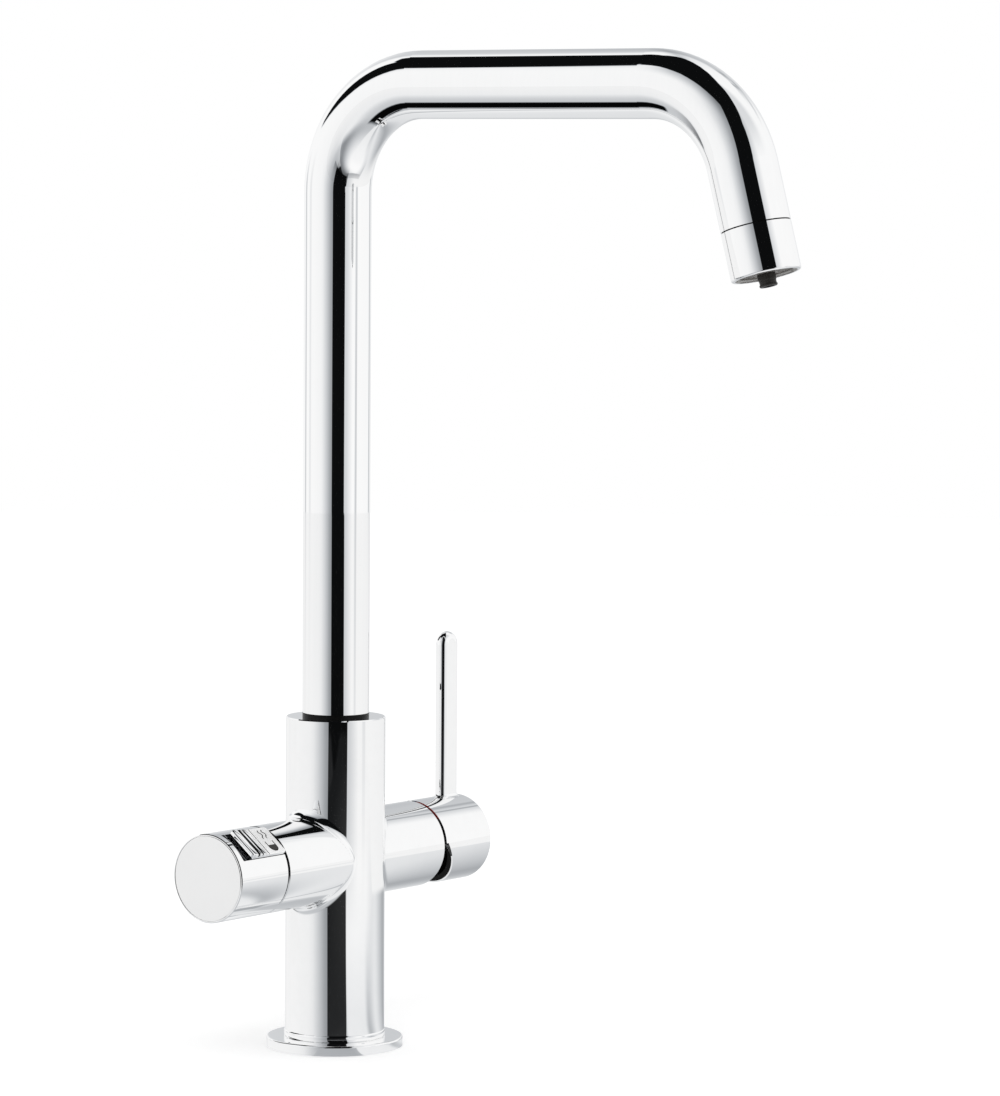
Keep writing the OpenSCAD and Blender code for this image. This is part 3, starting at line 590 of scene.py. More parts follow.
@dataclass
class Spout:
    """The tube with its two bends, its swivel below and its outlet."""

    leg_top: Triple = (0.0, -194.67 * MM, 354.79 * MM)
    leg_down: Triple = (0.0, -0.265556, -0.964095)
    seam: Pair = (23.03 * MM, 23.47 * MM)
    seal_in: float = 12.05 * MM
    seal_out: float = 13.0 * MM
    seal_ease: float = 0.12 * MM

    def seal(self) -> bpy.types.Object:
        """The black seal that shows as a line in the collar's seam.

        Returns:
            The seal.
        """
        (low, high), ease = self.seam, self.seal_ease
        section = ((self.seal_in, low), (self.seal_out - ease, low), (self.seal_out, low + ease),
                   (self.seal_out, high - ease), (self.seal_out - ease, high),
                   (self.seal_in, high))
        return Maker.piece("collar_seal",
                           *Maker.turned(section, around=96, base=self.leg_top,
                                         along=self.leg_down),
                           SEAL_RUBBER, "spout")

    def build(self) -> None:
        """Dresses the spout's pieces."""
        Maker.dress(TUBE_CHROME, "spout_tube", "outlet_collar")
        Maker.dress(BUSH_PLASTIC, "spout_bush")
        Maker.dress(TURNED_BRASS, "spout_foot")
        Maker.dress(BLACK_RUBBER, "spout_seals")
        Maker.dress(PIPE_STEEL, "boiling_water_pipe")
        Maker.dress(FIN_PLASTIC, "outlet_insert")
        Maker.dress(NOZZLE_PLASTIC, "boiling_nozzle")
        LOG.info("made %s", self.seal().name)


@dataclass
class BoilingSide:
    """The boiling-water handle, its valve and the sliding safety button with its sign."""

    arm_h: float = 76.4 * MM
    turn: float = 38.0
    face: float = 17.3 * MM
    stroke: float = 0.55 * MM
    lift: float = 0.03 * MM
    sunk: float = 0.02 * MM
    cup: tuple[float, float, float, float] = (53.4, 57.8, 0.6, 5.8)
    level: float = 2.6
    steam: Pair = (54.4, 56.6)
    steam_low: float = -5.6
    steam_long: float = 4.6
    steam_wide: float = 0.5
    plate_in: float = 50.3
    plate_out: float = 71.8
    plate_half: float = 7.2
    corner_in: float = 1.8
    corner_out: float = 1.1
    plate_low: float = -1.7
    under_mid: Pair = (73.8, -3.1)
    under_r: float = 3.4
    edge: float = 0.4
    bevel: Line = ((0.0, 1.0), (0.08, 0.6), (0.3, 0.3), (0.6, 0.08), (1.0, 0.0))
    bright: float = 0.85
    catch_in: float = 62.6
    # Height of the plate and its catch over the face, by how far out, in millimetres
    profile: Line = (
        (50.3, -0.4), (50.42, -0.12), (50.7, 0.0), (60.8, 0.0), (60.95, -0.16), (61.1, -0.16),
        (61.3, 0.12), (61.5, 0.2), (62.35, 0.24), (62.55, 0.12), (62.68, -0.42), (62.86, -0.42),
        (63.02, 0.36), (63.22, 0.5), (64.6, 0.6), (64.82, 0.48), (64.98, -0.3), (65.3, -0.3),
        (65.46, 0.56), (65.68, 0.7), (66.75, 0.78), (66.98, 0.64), (67.12, -0.5), (68.0, -0.5),
        (68.16, 0.76), (68.42, 0.94), (70.9, 1.26), (71.3, 1.2), (71.6, 0.95), (71.8, 0.5))
    # Each groove's start and end along the arm and the height of its black strip of painted shade,
    # in millimetres
    grooves: tuple[Triple, ...] = ((64.88, 65.44, 0.44), (67.0, 68.14, 0.62))
    groove_half: float = 7.12
    groove_shade_low: float = -0.7
    groove_shade_ease: float = 0.05
    slider_in: float = 51.7
    slider_out: float = 66.38
    slider: Line = ((-7.9, 13.2), (-7.9, 14.15), (-7.75, 14.3), (-6.9, 14.3), (-6.9, 15.62),
                    (6.9, 15.62), (6.9, 14.3), (7.75, 14.3), (7.9, 14.15), (7.9, 13.2),
                    (2.6, 13.2), (2.6, 13.9), (-2.6, 13.9), (-2.6, 13.2))

    def place(self, u: float, t: float, rise: float) -> list:
        """A point on the button.

        Args:
            u: How far out along the arm, in metres.
            t: How far down the button's face towards the front, in metres.
            rise: Its height over the face, in metres.

        Returns:
            The point in the frame.
        """
        a = math.radians(self.turn)
        x, y = self.face + rise, -t
        return [-u, -x * math.sin(a) + y * math.cos(a),
                self.arm_h + x * math.cos(a) + y * math.sin(a)]

    def half_at(self, u: float) -> float:
        """The button's half width, rounded at its corners.

        Args:
            u: How far out along the arm, in millimetres.

        Returns:
            The half width, in millimetres.
        """
        for run, r in ((u - self.plate_in, self.corner_in), (self.plate_out - u, self.corner_out)):
            if run < r:
                return self.plate_half - r + math.sqrt(max(0.0, r * r - (r - run) ** 2))
        return self.plate_half

    def low_at(self, u: float) -> float:
        """How low the button's plate reaches, over the scoop under its catch.

        Args:
            u: How far out along the arm, in millimetres.

        Returns:
            The height over the face, in millimetres.
        """
        mid, rise = self.under_mid
        gap = self.under_r ** 2 - (mid - u) ** 2
        return max(self.plate_low, rise + math.sqrt(gap)) if gap > 0 else self.plate_low

    def button(self) -> bpy.types.Object:
        """The button's plate and its thumb catch: bevelled edges, a fine step, three ridges.

        Returns:
            The plate, in place of safety_button.
        """
        stations = sorted(set(
            [u for u, _ in self.profile]
            + [self.plate_in + self.corner_in * (1 - math.cos(math.pi * i / 16))
               for i in range(1, 9)]
            + [self.plate_out - self.corner_out * (1 - math.cos(math.pi * i / 12))
               for i in range(1, 7)]))
        places = [u for u, _ in self.profile]
        heights = [h for _, h in self.profile]
        rows = []
        for u in stations:
            top, low, w = float(np.interp(u, places, heights)), self.low_at(u), self.half_at(u)
            e = min(self.edge, 0.45 * (top - low))
            half = [(w, low)] + [(w - a * e, top - b * e) for a, b in self.bevel] + [(w / 2, top)]
            ring = half + [(0.0, top)] + [(-t, r) for t, r in half[::-1]]
            rows.append([self.place(u * MM, t * MM, r * MM) for t, r in ring])
        made = Maker.piece("button_plate", *Maker.loft(rows), BUTTON_SATIN, "safety_button")
        made.data.materials.append(CAST_CHROME.material())
        up = Vector(self.place(0, 0, 1)) - Vector(self.place(0, 0, 0))
        for face in made.data.polygons:
            face.material_index = int(face.normal.dot(up) < self.bright
                                      or -face.center.x / MM > self.catch_in)
        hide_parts("safety_button")
        return made

    def runner(self) -> bpy.types.Object:
        """The grooved runner under the plate, with the rails that hold it in the handle.

        Returns:
            The runner.
        """
        rows = [[self.place(u * MM, t * MM, r * MM - self.face) for t, r in self.slider[::-1]]
                for u in (self.slider_in, self.slider_out)]
        return Maker.piece("button_runner", *Maker.loft(rows), BLACK_PLASTIC, "safety_button")

    def groove_shade(self, name: str, groove: Triple) -> bpy.types.Object:
        """A black strip of painted shade with round ends in one of the catch's grooves.

        Args:
            name: The strip's name.
            groove: Where the groove starts and ends along the arm, and the strip's height.

        Returns:
            The inlay.
        """
        left, right, top = groove
        mid, half = (left + right) / 2, (right - left) / 2
        ends = [(self.groove_half - half, range(13)), (half - self.groove_half, range(12, 25))]
        outline = [(half * math.cos(math.pi * i / 12), run + half * math.sin(math.pi * i / 12))
                   for run, steps in ends for i in steps]
        shares = ((self.groove_shade_low, 1.0), (top - self.groove_shade_ease, 1.0),
                  (top, 1 - self.groove_shade_ease / half))
        rows = [[self.place((mid + u * share) * MM, t * MM, rise * MM) for u, t in outline]
                for rise, share in shares]
        return Maker.piece(name, *Maker.loft(rows), SEAL_RUBBER, "safety_button")

    def ribbon(self, name: str, path: list) -> bpy.types.Object:
        """A line of enamel.

        Args:
            name: The line's name.
            path: The (u, t) points that it follows, in millimetres.

        Returns:
            The line.
        """
        pts = np.array(path, float) * MM
        run = np.gradient(pts, axis=0)
        run /= np.linalg.norm(run, axis=1)[:, None]
        off = np.stack([-run[:, 1], run[:, 0]], 1) * self.stroke / 2
        rows = []
        for p, o in zip(pts, off):
            edge = (p + o, p + 0.8 * o, p - 0.8 * o, p - o)
            rise = (-self.sunk, self.lift, self.lift, -self.sunk)
            rows.append([self.place(e[0], e[1], r) for e, r in zip(edge, rise)])
        points = np.array(rows).reshape(-1, 3)
        return Maker.piece(name, points, Maker.quads(len(rows), 4), SIGN_ENAMEL,
                           "safety_button")

    def sign(self) -> None:
        """The hot-water sign: a cup with its level, and two waves of steam above it."""
        left, right, top, low = self.cup
        mid, half = (left + right) / 2, (right - left) / 2
        bowl = [(left, top + (low - half - top) * i / 8) for i in range(9)]
        bowl += [(mid - half * math.cos(math.pi * i / 16), low - half
                  + half * math.sin(math.pi * i / 16)) for i in range(1, 17)]
        bowl += [(right, low - half - (low - half - top) * i / 8) for i in range(1, 9)]
        LOG.info("made %s", self.ribbon("sign_cup", bowl).name)
        for n, u in enumerate(self.steam):
            wave = [(u + self.steam_wide * math.sin(2 * math.pi * i / 20),
                     self.steam_low + self.steam_long * i / 28) for i in range(29)]
            LOG.info("made %s", self.ribbon(f"sign_steam_{n + 1}", wave).name)
        rows = []
        for i in range(13):
            t = self.level + (low - self.level) * math.sin(math.pi / 2 * i / 12)
            over = max(0.0, t - (low - half))
            wide = half if over == 0 else math.sqrt(max(0.0, half * half - over * over))
            rows.append([self.place((mid + s * wide) * MM, t * MM, self.lift)
                         for s in (-1, -0.5, 0, 0.5, 1)])
        water = Maker.piece("sign_water", np.array(rows).reshape(-1, 3), Maker.quads(13, 5),
                            SIGN_ENAMEL, "safety_button")
        LOG.info("made %s", water.name)

    def build(self) -> None:
        """Builds and dresses the boiling-water side."""
        Maker.dress(CAST_CHROME, "boiling_handle")
        Maker.dress(CAP_CHROME, "handle_end_cap")
        Maker.dress(BUTTON_SATIN, "safety_button")
        Maker.dress(SIDE_BRASS, "boiling_cartridge", "boiling_ring_nut")
        Maker.dress(LAPPED_CERAMIC, "boiling_fixed_disc", "boiling_turning_disc")
        Maker.dress(SCREW_STEEL, "boiling_spindle", "handle_screw")
        LOG.info("made %s", self.button().name)
        LOG.info("made %s", self.runner().name)
        for n, groove in enumerate(self.grooves):
            LOG.info("made %s", self.groove_shade(f"catch_groove_shade_{n + 1}", groove).name)
        self.sign()


@dataclass
class MixerSide:
    """The single-lever mixer: its cartridge, the knob and the upright lever."""

    arm_h: float = 76.4 * MM
    knob_r: float = 17.5 * MM
    lever_x: float = 73.0 * MM
    lever_flat: float = 2.6 * MM
    lever_round: float = 2.8 * MM
    foot_round: float = 1.4 * MM
    rim: float = 51.2 * MM
    cut: Triple = (1.4 * MM, 52.4 * MM, 28.0)
    # The black sheet of painted shade inside the knob
    shade_liner_r: float = 14.9 * MM
    shade_liner_out: float = 16.9 * MM
    shade_liner_deep: float = 70.1 * MM
    shade_liner_hub: float = 8 * MM
    shade_liner_fade: float = 6 * MM
    shade_liner_least: float = 0.03
    shade_liner_sunk: float = 0.02 * MM
    shade_liner_proud: float = 0.03 * MM
    shade_liner_step: float = 0.002

    def foot(self) -> bpy.types.Object:
        """The cast rounding where the lever grows out of the knob.

        Returns:
            The rounding, a strip that meets the lever and the knob at their tangents.
        """
        turn, steps, r = 96, 10, self.foot_round
        points, normals = [], []
        for i in range(turn):
            a = 2 * math.pi * i / turn
            out = np.array([math.cos(a), math.sin(a), 0.0])
            mid = self.lever_x + (self.lever_flat if out[0] > 0 else -self.lever_flat)
            edge = np.array([mid, 0.0, 0.0]) + self.lever_round * out
            for k in range(steps + 1):
                t = 0.5 * math.pi * k / steps
                spot = edge + out * r * (1 - math.sin(t))
                high = math.sqrt(self.knob_r ** 2 - spot[1] ** 2)
                up = np.array([0.0, spot[1], high]) / self.knob_r
                spot += np.array([0.0, 0.0, self.arm_h + high + r * (1 - math.cos(t))])
                normal = math.sin(t) * out + math.cos(t) * up
                points.append(spot)
                normals.append(normal / np.linalg.norm(normal))
        columns = steps + 1
        faces = [(i * columns + k, ((i + 1) % turn) * columns + k,
                  ((i + 1) % turn) * columns + k + 1, i * columns + k + 1)
                 for i in range(turn) for k in range(steps)]
        return Maker.piece("lever_foot", np.array(points), faces, CAST_CHROME, "mixer_lever",
                           np.array(normals))

    def rim_at(self, high: float) -> float:
        """How far out the knob's rim stands: cut away at a slant below.

        Args:
            high: The height over the axis, in metres.

        Returns:
            The place along the arm, in metres.
        """
        start, out, slant = self.cut
        return self.rim if high > start else out + (start - high) * math.tan(math.radians(slant))

    def shade_liner(self) -> bpy.types.Object:
        """A black sheet of painted shade inside the knob, which shows under its cut rim from
        below.

        Returns:
            The sheet of painted shade.
        """
        turn = 144
        low, step = self.cut[0], self.shade_liner_step
        start = math.acos(low / self.shade_liner_out)
        angles = sorted([2 * math.pi * i / turn for i in range(turn)]
                        + [start - step, start + step, 2 * math.pi - start - step,
                           2 * math.pi - start + step])
        points = []
        for a in angles:
            below = (low - self.shade_liner_out * math.cos(a)) / self.shade_liner_fade
            flange = self.shade_liner_r + (self.shade_liner_out - self.shade_liner_r) \
                * min(1.0, max(self.shade_liner_least, below))
            for r, out in ((self.shade_liner_hub, None), (self.shade_liner_r, None),
                           (self.shade_liner_r, -self.shade_liner_sunk), (flange, -self.shade_liner_sunk),
                           (flange, self.shade_liner_proud)):
                along = self.shade_liner_deep if out is None else self.rim_at(r * math.cos(a)) + out
                points.append([along, -r * math.sin(a), self.arm_h + r * math.cos(a)])
        count = len(points)
        faces = [tuple(corner % count for corner in face)
                 for face in Maker.quads(len(angles) + 1, 5)]
        return Maker.piece("knob_shade_liner", np.array(points), faces, SEAL_RUBBER, "mixer_lever")

    def build(self) -> None:
        """Builds and dresses the mixer's pieces."""
        Maker.dress(CAST_CHROME, "mixer_lever")
        Maker.dress(GREY_PLASTIC, "mixer_cartridge", "mixer_cartridge_base")
        Maker.dress(LAPPED_CERAMIC, "mixer_fixed_disc", "mixer_sliding_disc")
        Maker.dress(BLACK_PLASTIC, "mixer_carrier")
        Maker.dress(SCREW_STEEL, "mixer_pivot_pin", "mixer_stem", "mixer_grub_screw")
        Maker.dress(DARK_STEEL, "mixer_ring_nut")
        Maker.dress(RingMarks(), "temperature_ring")
        LOG.info("made %s", self.foot().name)
        LOG.info("made %s", self.shade_liner().name)


@dataclass(frozen=True)
class Shade:
    """Light taken away between two bearings and two heights, in degrees, as the metal sees it.

    Each edge fades from its first value to its second, and one that is left out is open.
    """

    depth: float
    left: Pair
    right: Pair
    low: "Pair | None" = None
    high: "Pair | None" = None

    def mask(self, bearing: Wire, height: Wire) -> Wire:
        """How much of the light is taken away.

        Args:
            bearing: The direction's bearing.
            height: Its height over the horizon.

        Returns:
            The share, from 0 to 1.
        """
        mask = bearing.rise(*self.left) * (1 - bearing.rise(*self.right))
        if self.low:
            mask = mask * height.rise(*self.low)
        if self.high:
            mask = mask * (1 - height.rise(*self.high))
        return mask * self.depth


@dataclass(frozen=True)
class Table:
    """The floor as the metal sees it: painted light and shade of a lit table with darker rims
    before the tap.

    Places are in metres and bearings in degrees. A pair is where a fade starts and ends, and a
    triple is where a stretch starts, where it ends and how far both ends fade.
    """

    # The floor glows with all of this painted light and shade, which only the metal sees
    # The pool of light on the table: its middle's X and Y and its size
    pool: Triple = (-0.02, -0.55, 0.55)
    pool_fade: Pair = (0.3, 1.25)
    pool_depth: float = 0.72
    table_x: Triple = (-0.66, 0.4, 0.02)
    table_y: Pair = (-0.86, -0.8)
    rim_x: Triple = (-0.76, 0.46, 0.015)
    rim_y: Pair = (-1.16, -1.12)
    rim_tone: float = 0.3
    rim_lit_x: Pair = (0.36, 0.44)
    # Brightness in front of the table, by X
    front: Line = ((-1.0, 0.62), (-0.3, 0.72), (0.1, 0.84), (0.45, 0.86), (1.0, 0.93))
    # Brightness behind the tap, by bearing
    back: Line = ((-180, 0.78), (-165, 0.8), (-150, 0.88), (-140, 0.92), (-131, 0.6),
                  (-122, 0.64), (-112, 0.78), (-90, 0.86), (60, 0.86), (90, 0.86), (107, 0.81),
                  (111, 0.78), (120, 0.67), (143, 0.42), (150, 0.46), (160, 0.6), (172, 0.76),
                  (180, 0.78))
    # Behind on the left the brightness follows X instead
    left_tone: float = 0.88
    left_depth: float = 0.28
    left_fade: Pair = (-0.6, -0.22)
    left_end: Pair = (-0.06, -0.04)
    # Where the floor counts as behind: by Y on the left of side_x and by bearing on its right
    side_x: Pair = (0.0, 0.03)
    behind_y: Pair = (-0.15, 0.05)
    behind_right: Pair = (80.0, 105.0)
    behind_left: Pair = (-100.0, -90.0)
    # A lit stretch on the right
    lit: Triple = (27.0, 75.0, 6.0)
    lit_end: Pair = (0.4, 0.6)
    lit_tone: float = 0.93
    lit_share: float = 0.75
    # The dark gap past the table's left end
    gap: Triple = (-25.0, 33.0, 4.0)
    gap_x: Pair = (-0.78, -0.7)
    gap_y: Pair = (-0.56, -0.48)
    gap_depth: float = 0.97
    # The dark floor far in front
    far: Triple = (-25.0, 27.5, 0.8)
    far_start: Pair = (1.08, 1.15)
    far_depth: float = 0.99
    # The shade close to the foot
    near: Triple = (-17.0, 28.0, 1.0)
    near_end: Pair = (0.048, 0.056)
    near_depth: float = 0.4
    # A painted dark patch on the left, which only metal at a distance from it sees
    patch_x: Triple = (-0.2, -0.03, 0.02)
    patch_y: Triple = (-0.03, 0.38, 0.02)
    patch_ray: Pair = (0.22, 0.3)
    patch_depth: float = 0.997
    # The polish, by how flat the floor is seen
    polish: float = 0.975
    polish_flat: Pair = (0.5, 0.84)
    # From this bearing on it starts only at an edge, by the distance from the tap's axis
    polish_right: Pair = (26.8, 28.5)
    polish_edge: Pair = (0.25, 0.75)
    # The edge from side_bearing on, and how far a grazing view moves it out
    side_edge: Pair = (0.42, 0.45)
    side_bearing: Pair = (88.0, 98.0)
    graze: Pair = (0.86, 0.91)
    graze_shift: float = 0.4

    def painted_foot_shade(self, b: Wire, away: Wire) -> Wire:
        """1 on the floor close to the foot, towards the camera, where the painted shade falls."""
        return b.between(*self.near) * (1 - away.rise(*self.near_end))

    def tone(self, x: Wire, y: Wire, b: Wire, away: Wire) -> Wire:
        """The floor's painted light and shade: how bright it looks to the metal.

        Args:
            x: A point's X.
            y: Its Y.
            b: Its bearing.
            away: How far it is from the tap's axis.

        Returns:
            The brightness, from 0 to 1.
        """
        pool_x, pool_y, size = self.pool
        out = (((x - pool_x) / size) ** 2 + ((y - pool_y) / size) ** 2) ** 0.5
        table = 1 - self.pool_depth * out.rise(*self.pool_fade)
        past = 1 - x.between(*self.table_x) * y.rise(*self.table_y)
        rim = x.between(*self.rim_x) * y.rise(*self.rim_y)
        strip = self.rim_tone * (1 + x.rise(*self.rim_lit_x))
        front = table * (1 - past) + past * (strip * rim + x.along(self.front) * (1 - rim))
        left = self.left_tone - self.left_depth * x.rise(*self.left_fade)
        to_right = x.rise(*self.left_end)
        back = left * (1 - to_right) + b.along(self.back) * to_right
        side = x.rise(*self.side_x)
        round_side = b.rise(*self.behind_right) + 1 - b.rise(*self.behind_left)
        behind = y.rise(*self.behind_y) * (1 - side) + round_side * side
        tone = front * (1 - behind) + back * behind
        lit = b.between(*self.lit) * (1 - away.rise(*self.lit_end))
        tone = tone + (self.lit_tone - tone) * lit * self.lit_share
        gap = b.between(*self.gap) * (1 - x.rise(*self.gap_x)) * (1 - y.rise(*self.gap_y))
        far = b.between(*self.far) * away.rise(*self.far_start)
        ray = x.sheet.add("LightPath", output="Ray Length").rise(*self.patch_ray)
        patch = x.between(*self.patch_x) * y.between(*self.patch_y) * ray
        for mask, depth in ((gap, self.gap_depth), (far, self.far_depth),
                            (self.painted_foot_shade(b, away), self.near_depth), (patch, self.patch_depth)):
            tone = tone * (1 - depth * mask)
        return tone

    def gloss(self, b: Wire, away: Wire) -> Wire:
        """How much the floor mirrors the studio.

        Args:
            b: A point's bearing.
            away: How far it is from the tap's axis.

        Returns:
            The share, from 0 to 1.
        """
        facing = b.sheet.add("LayerWeight", {}, {"Blend": 0.5}, "Facing")
        (start, end), (side_start, side_end) = self.polish_edge, self.side_edge
        side = b.rise(*self.side_bearing)
        reach = away - self.graze_shift * facing.rise(*self.graze)
        edge = reach.rise(start + (side_start - start) * side, end + (side_end - end) * side)
        return facing.rise(*self.polish_flat) * self.polish \
            * (1 - b.rise(*self.polish_right) * (1 - edge)) * (1 - self.painted_foot_shade(b, away))


@dataclass
class Studio:
    """The floor, the soft light, the cards round the tap and the camera.

    Bearings are in degrees round the tap, 0 towards the camera and rising to its right.
    """

    azimuth: float = -53.095
    elevation: float = 4.529
    roll: float = 0.385
    distance: float = 1.96627
    focal_px: float = 4903.5
    image_h: float = 1096.0
    target_side: float = 0.065585
    target_up: float = 0.201606
    sensor: float = 36.0
    clip: Pair = (0.05, 30.0)
    floor_r: float = 3.0
    floor_drop: float = 0.2 * MM
    floor_white: float = 0.8
    floor_fill: float = 0.33
    floor_sheen: float = 0.95
    floor_rough: float = 0.03
    daylight: float = 0.86
    lamp_at: Triple = (-1.6, -1.2, 2.4)
    lamp_aim: Triple = (0.0, 0.0, 0.2)
    lamp_size: float = 1.6
    lamp_power: float = 14.0
    table: Table = Table()
    # Height of the ceiling's edge in degrees, by bearing
    ceiling: Line = ((-180, 60), (-158, 60), (-150, 51), (-143, 46.5), (-132, 45), (-97, 50),
                     (-91, 48), (-80, 53), (-60, 56.5), (-40, 56), (-20, 52.5), (-10, 49),
                     (-5, 46), (36, 46), (45, 53), (55, 61.5), (62, 66), (75, 71), (90, 75.5),
                     (120, 76), (150, 72), (165, 67), (180, 60))
    ceiling_soft: float = 1.0
    # Brightness of the walls of cloth, by bearing
    walls: Line = ((-180, 0.62), (-172, 0.9), (-165, 1.0), (-150, 0.98), (-100, 0.98),
                   (-66, 0.95), (-60, 0.94), (-50, 0.88), (-40, 0.72), (-30, 0.55), (-22, 0.4),
                   (-16, 0.33), (27, 0.68), (34, 0.7), (56, 0.99), (100, 0.98), (150, 0.96),
                   (160, 0.92), (170, 0.84), (180, 0.62))
    # Darker stretches of the walls, then four stands on the floor
    shades: tuple[Shade, ...] = (
        Shade(0.5, (-95.0, -65.0), (-10.0, 0.0), low=(30.0, 60.0)),
        Shade(0.25, (-14.0, 14.0), (81.0, 109.0), low=(20.0, 50.0)),
        Shade(0.3, (124.0, 143.0), (153.0, 159.0), (23.0, 29.0), (40.0, 46.0)),
        Shade(0.35, (139.5, 141.5), (143.0, 145.0), (34.0, 36.0), (42.0, 44.0)),
        Shade(0.34, (65.0, 68.0), (73.0, 76.0), high=(2.0, 10.0)),
        Shade(0.4, (138.5, 143.5), (149.0, 154.0), high=(0.0, 6.0)),
        Shade(0.34, (-142.5, -138.5), (-131.5, -127.5), high=(0.0, 8.0)),
        Shade(0.14, (-113.0, -107.0), (-103.0, -97.0), high=(0.0, 8.0)))
    # The wall behind the tap: how much darker it is, at once and by each of two heights
    behind_right: Pair = (146.0, 154.0)
    behind_left: Pair = (-158.0, -146.0)
    behind_depth: Triple = (0.05, 0.3, -0.33)
    behind_low: Pair = (4.0, 38.0)
    behind_high: Pair = (40.0, 50.0)
    # The dark card on the left, and how it shades the wall round it
    dark_card: Line = ((-133, 13.5), (-125, 13), (-103, 20), (-96, 30), (-91, 43), (-97, 54),
                       (-127, 54), (-128, 42), (-134, 30))
    card_edge: float = 1.2
    card_round: float = 14.0
    card_depth: float = 0.75
    card_start: Pair = (-112.0, -96.0)
    # The dark slot at the camera: each side's bearing at slot_low and its lean
    slot_left: Pair = (-15.4, 0.055)
    slot_right: Pair = (26.8, 0.216)
    slot_low: float = -5.0
    slot_soft: float = 0.8
    slot_light: float = 0.004

    def axes(self) -> tuple:
        """The camera's directions before it rolls.

        Returns:
            Its back, its right and its up.
        """
        a, e = math.radians(self.azimuth), math.radians(self.elevation)
        back = Vector((math.sin(a) * math.cos(e), -math.cos(a) * math.cos(e), math.sin(e)))
        right = Vector((math.cos(a), math.sin(a), 0))
        return back, right, back.cross(right)

    def camera(self) -> None:
        """Stands the camera where the photograph was taken."""
        back, right, up = self.axes()
        roll = math.radians(self.roll)
        across = right * math.cos(roll) + up * math.sin(roll)
        upward = up * math.cos(roll) - right * math.sin(roll)
        data = bpy.data.cameras.new("camera")
        data.sensor_width = self.sensor
        data.lens = self.focal_px * self.sensor / self.image_h
        data.clip_start, data.clip_end = self.clip
        made = bpy.data.objects.new("camera", data)
        bpy.context.scene.collection.objects.link(made)
        spot = right * self.target_side + Vector((0, 0, self.target_up)) + back * self.distance
        turn = Matrix((across, upward, back)).transposed().to_4x4()
        made.matrix_world = Matrix.Translation(spot) @ turn
        bpy.context.scene.camera = made

    def world(self) -> None:
        """White all round, with the studio's cards seen only in the metal."""
        world = bpy.data.worlds.new("studio")
        bpy.context.scene.world = world
        world.use_nodes = True
        sheet = Sheet(world.node_tree)
        way = sheet.add("SeparateXYZ", {}, {0: sheet.add("TexCoord", output="Generated")}, "X")
        b = self.bearing(way, way.also("Y"))
        h = sheet.math("ARCSINE", way.also("Z")) * DEGREES
        base, middle, top = self.behind_depth
        behind = b.rise(*self.behind_right) + (1 - b.rise(*self.behind_left))
        deep = base + middle * h.rise(*self.behind_low) + top * h.rise(*self.behind_high)
        light = b.along(self.walls) * (1 - behind * deep)
        light = light * (1 - self.card_depth * b.inside(h, self.dark_card, self.card_round)
                         * b.rise(*self.card_start))
        for shade in self.shades:
            light = light * (1 - shade.mask(b, h))
        edge = b.along(tuple((place, value / 100) for place, value in self.ceiling)) * 100
        light = light * (1 - (h - edge).rise(-self.ceiling_soft, self.ceiling_soft))
        slot = self.past(b, h, self.slot_left) * (1 - self.past(b, h, self.slot_right))
        light = light * (1 - slot) * (1 - b.inside(h, self.dark_card, self.card_edge)) \
            + self.slot_light
        path = sheet.add("LightPath", output="Is Camera Ray")
        glossy = path.also("Is Glossy Ray")
        plain = sheet.math("MAXIMUM", path, path.also("Is Transmission Ray"))
        other = 1 - sheet.math("MAXIMUM", plain, glossy)
        strength = plain + glossy * light + other * self.daylight
        cool = sheet.blend((1 - light) * glossy, WHITE, COOL)
        sheet.close(sheet.add("Background", {}, {"Color": cool, "Strength": strength}), "World")

    def past(self, b: Wire, h: Wire, side: Pair) -> Wire:
        """1 on the right of one side of the dark slot."""
        reach = b - side[0] - side[1] * (h - self.slot_low)
        return reach.rise(-self.slot_soft, self.slot_soft)

    def bearing(self, x: Wire, y: Wire) -> Wire:
        """The bearing of a point or a direction.

        Args:
            x: Its X.
            y: Its Y.

        Returns:
            The bearing, in degrees.
        """
        back, right, _ = self.axes()
        flat = Vector((back.x, back.y, 0)).normalized()
        return x.sheet.math("ARCTAN2", x * right.x + y * right.y,
                            x * flat.x + y * flat.y) * DEGREES

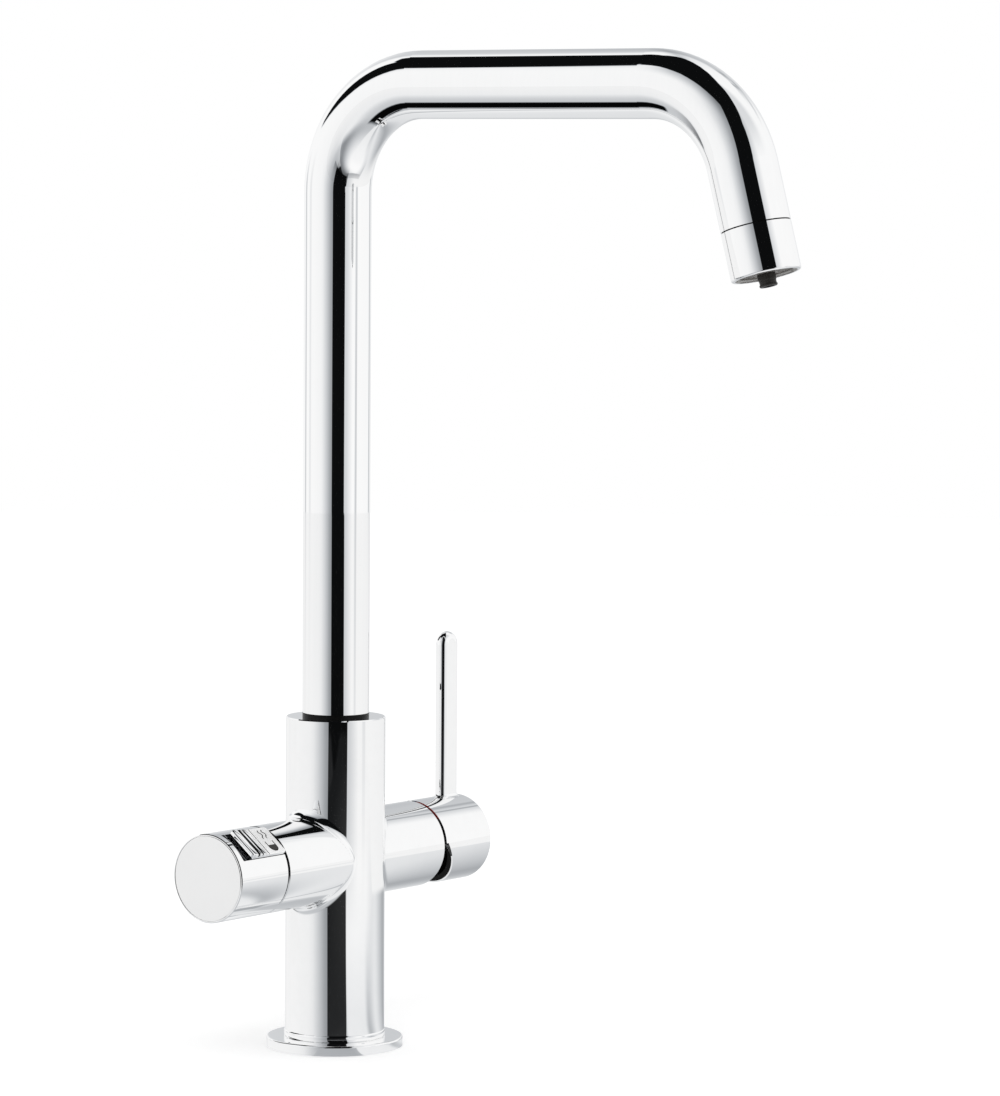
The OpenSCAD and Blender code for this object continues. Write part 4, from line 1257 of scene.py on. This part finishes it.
    def floor(self) -> None:
        """A plain white floor that keeps the tap's shadow; in the metal it is glossy over a glow
        of painted light and shade.
        """
        count = 96
        rim = [(self.floor_r * math.cos(2 * math.pi * i / count),
                self.floor_r * math.sin(2 * math.pi * i / count), -self.floor_drop)
               for i in range(count)]
        mesh = bpy.data.meshes.new("floor")
        mesh.from_pydata(rim, [], [tuple(range(count))])
        made = bpy.data.objects.new("floor", mesh)
        bpy.context.scene.collection.objects.link(made)
        finish = bpy.data.materials.new("white_floor")
        finish.use_nodes = True
        mesh.materials.append(finish)
        sheet = Sheet(finish.node_tree)
        place = sheet.add("SeparateXYZ", {}, {0: sheet.add("TexCoord", output="Object")}, "X")
        x, y = place, place.also("Y")
        b = self.bearing(x, y)
        away = (x * x + y * y) ** 0.5
        tone = self.table.tone(x, y, b, away)
        # Painted light and shade: the floor glows with the table's painted brightness, tinted cool
        # where darker, for the metal
        painted_floor_glow = sheet.add("Emission", {}, {"Color": sheet.blend(1 - tone, WHITE, COOL),
                                          "Strength": tone})
        sheen = sheet.add("BsdfAnisotropic", {}, {"Color": (*[self.floor_sheen] * 3, 1),
                                                  "Roughness": self.floor_rough})
        metal = sheet.add("MixShader", {}, {0: self.table.gloss(b, away), 1: painted_floor_glow, 2: sheen})
        path = sheet.add("LightPath", output="Is Camera Ray")
        matt = sheet.add("BsdfDiffuse", {}, {"Color": (*[self.floor_white] * 3, 1)})
        fill = sheet.add("Emission", {}, {"Color": (*WHITE, 1),
                                          "Strength": path * self.floor_fill})
        plain = sheet.add("AddShader", {}, {0: matt, 1: fill})
        sheet.close(sheet.add("MixShader", {}, {0: path.also("Is Glossy Ray"), 1: plain,
                                                2: metal}))

    def lamp(self) -> None:
        """One large soft lamp high on the left."""
        data = bpy.data.lights.new("softbox", "AREA")
        data.shape, data.size = "DISK", self.lamp_size
        data.energy = self.lamp_power
        made = bpy.data.objects.new("softbox", data)
        made.visible_glossy = False
        bpy.context.scene.collection.objects.link(made)
        made.location = self.lamp_at
        made.rotation_mode = "QUATERNION"
        away = Vector(self.lamp_at) - Vector(self.lamp_aim)
        made.rotation_quaternion = away.to_track_quat("Z", "Y")

    def build(self) -> None:
        """Sets up the studio."""
        self.camera()
        self.world()
        self.floor()
        self.lamp()
        bpy.context.scene.view_settings.view_transform = "Standard"
        LOG.info("set up the studio")


def main() -> None:
    """Builds the tap's sub-assemblies in order, then the studio."""
    logging.basicConfig(level=logging.INFO, format="%(message)s")
    for part in (Studio(), Column(), Spout(), BoilingSide(), MixerSide()):
        part.build()


if __name__ == "__main__":
    main()
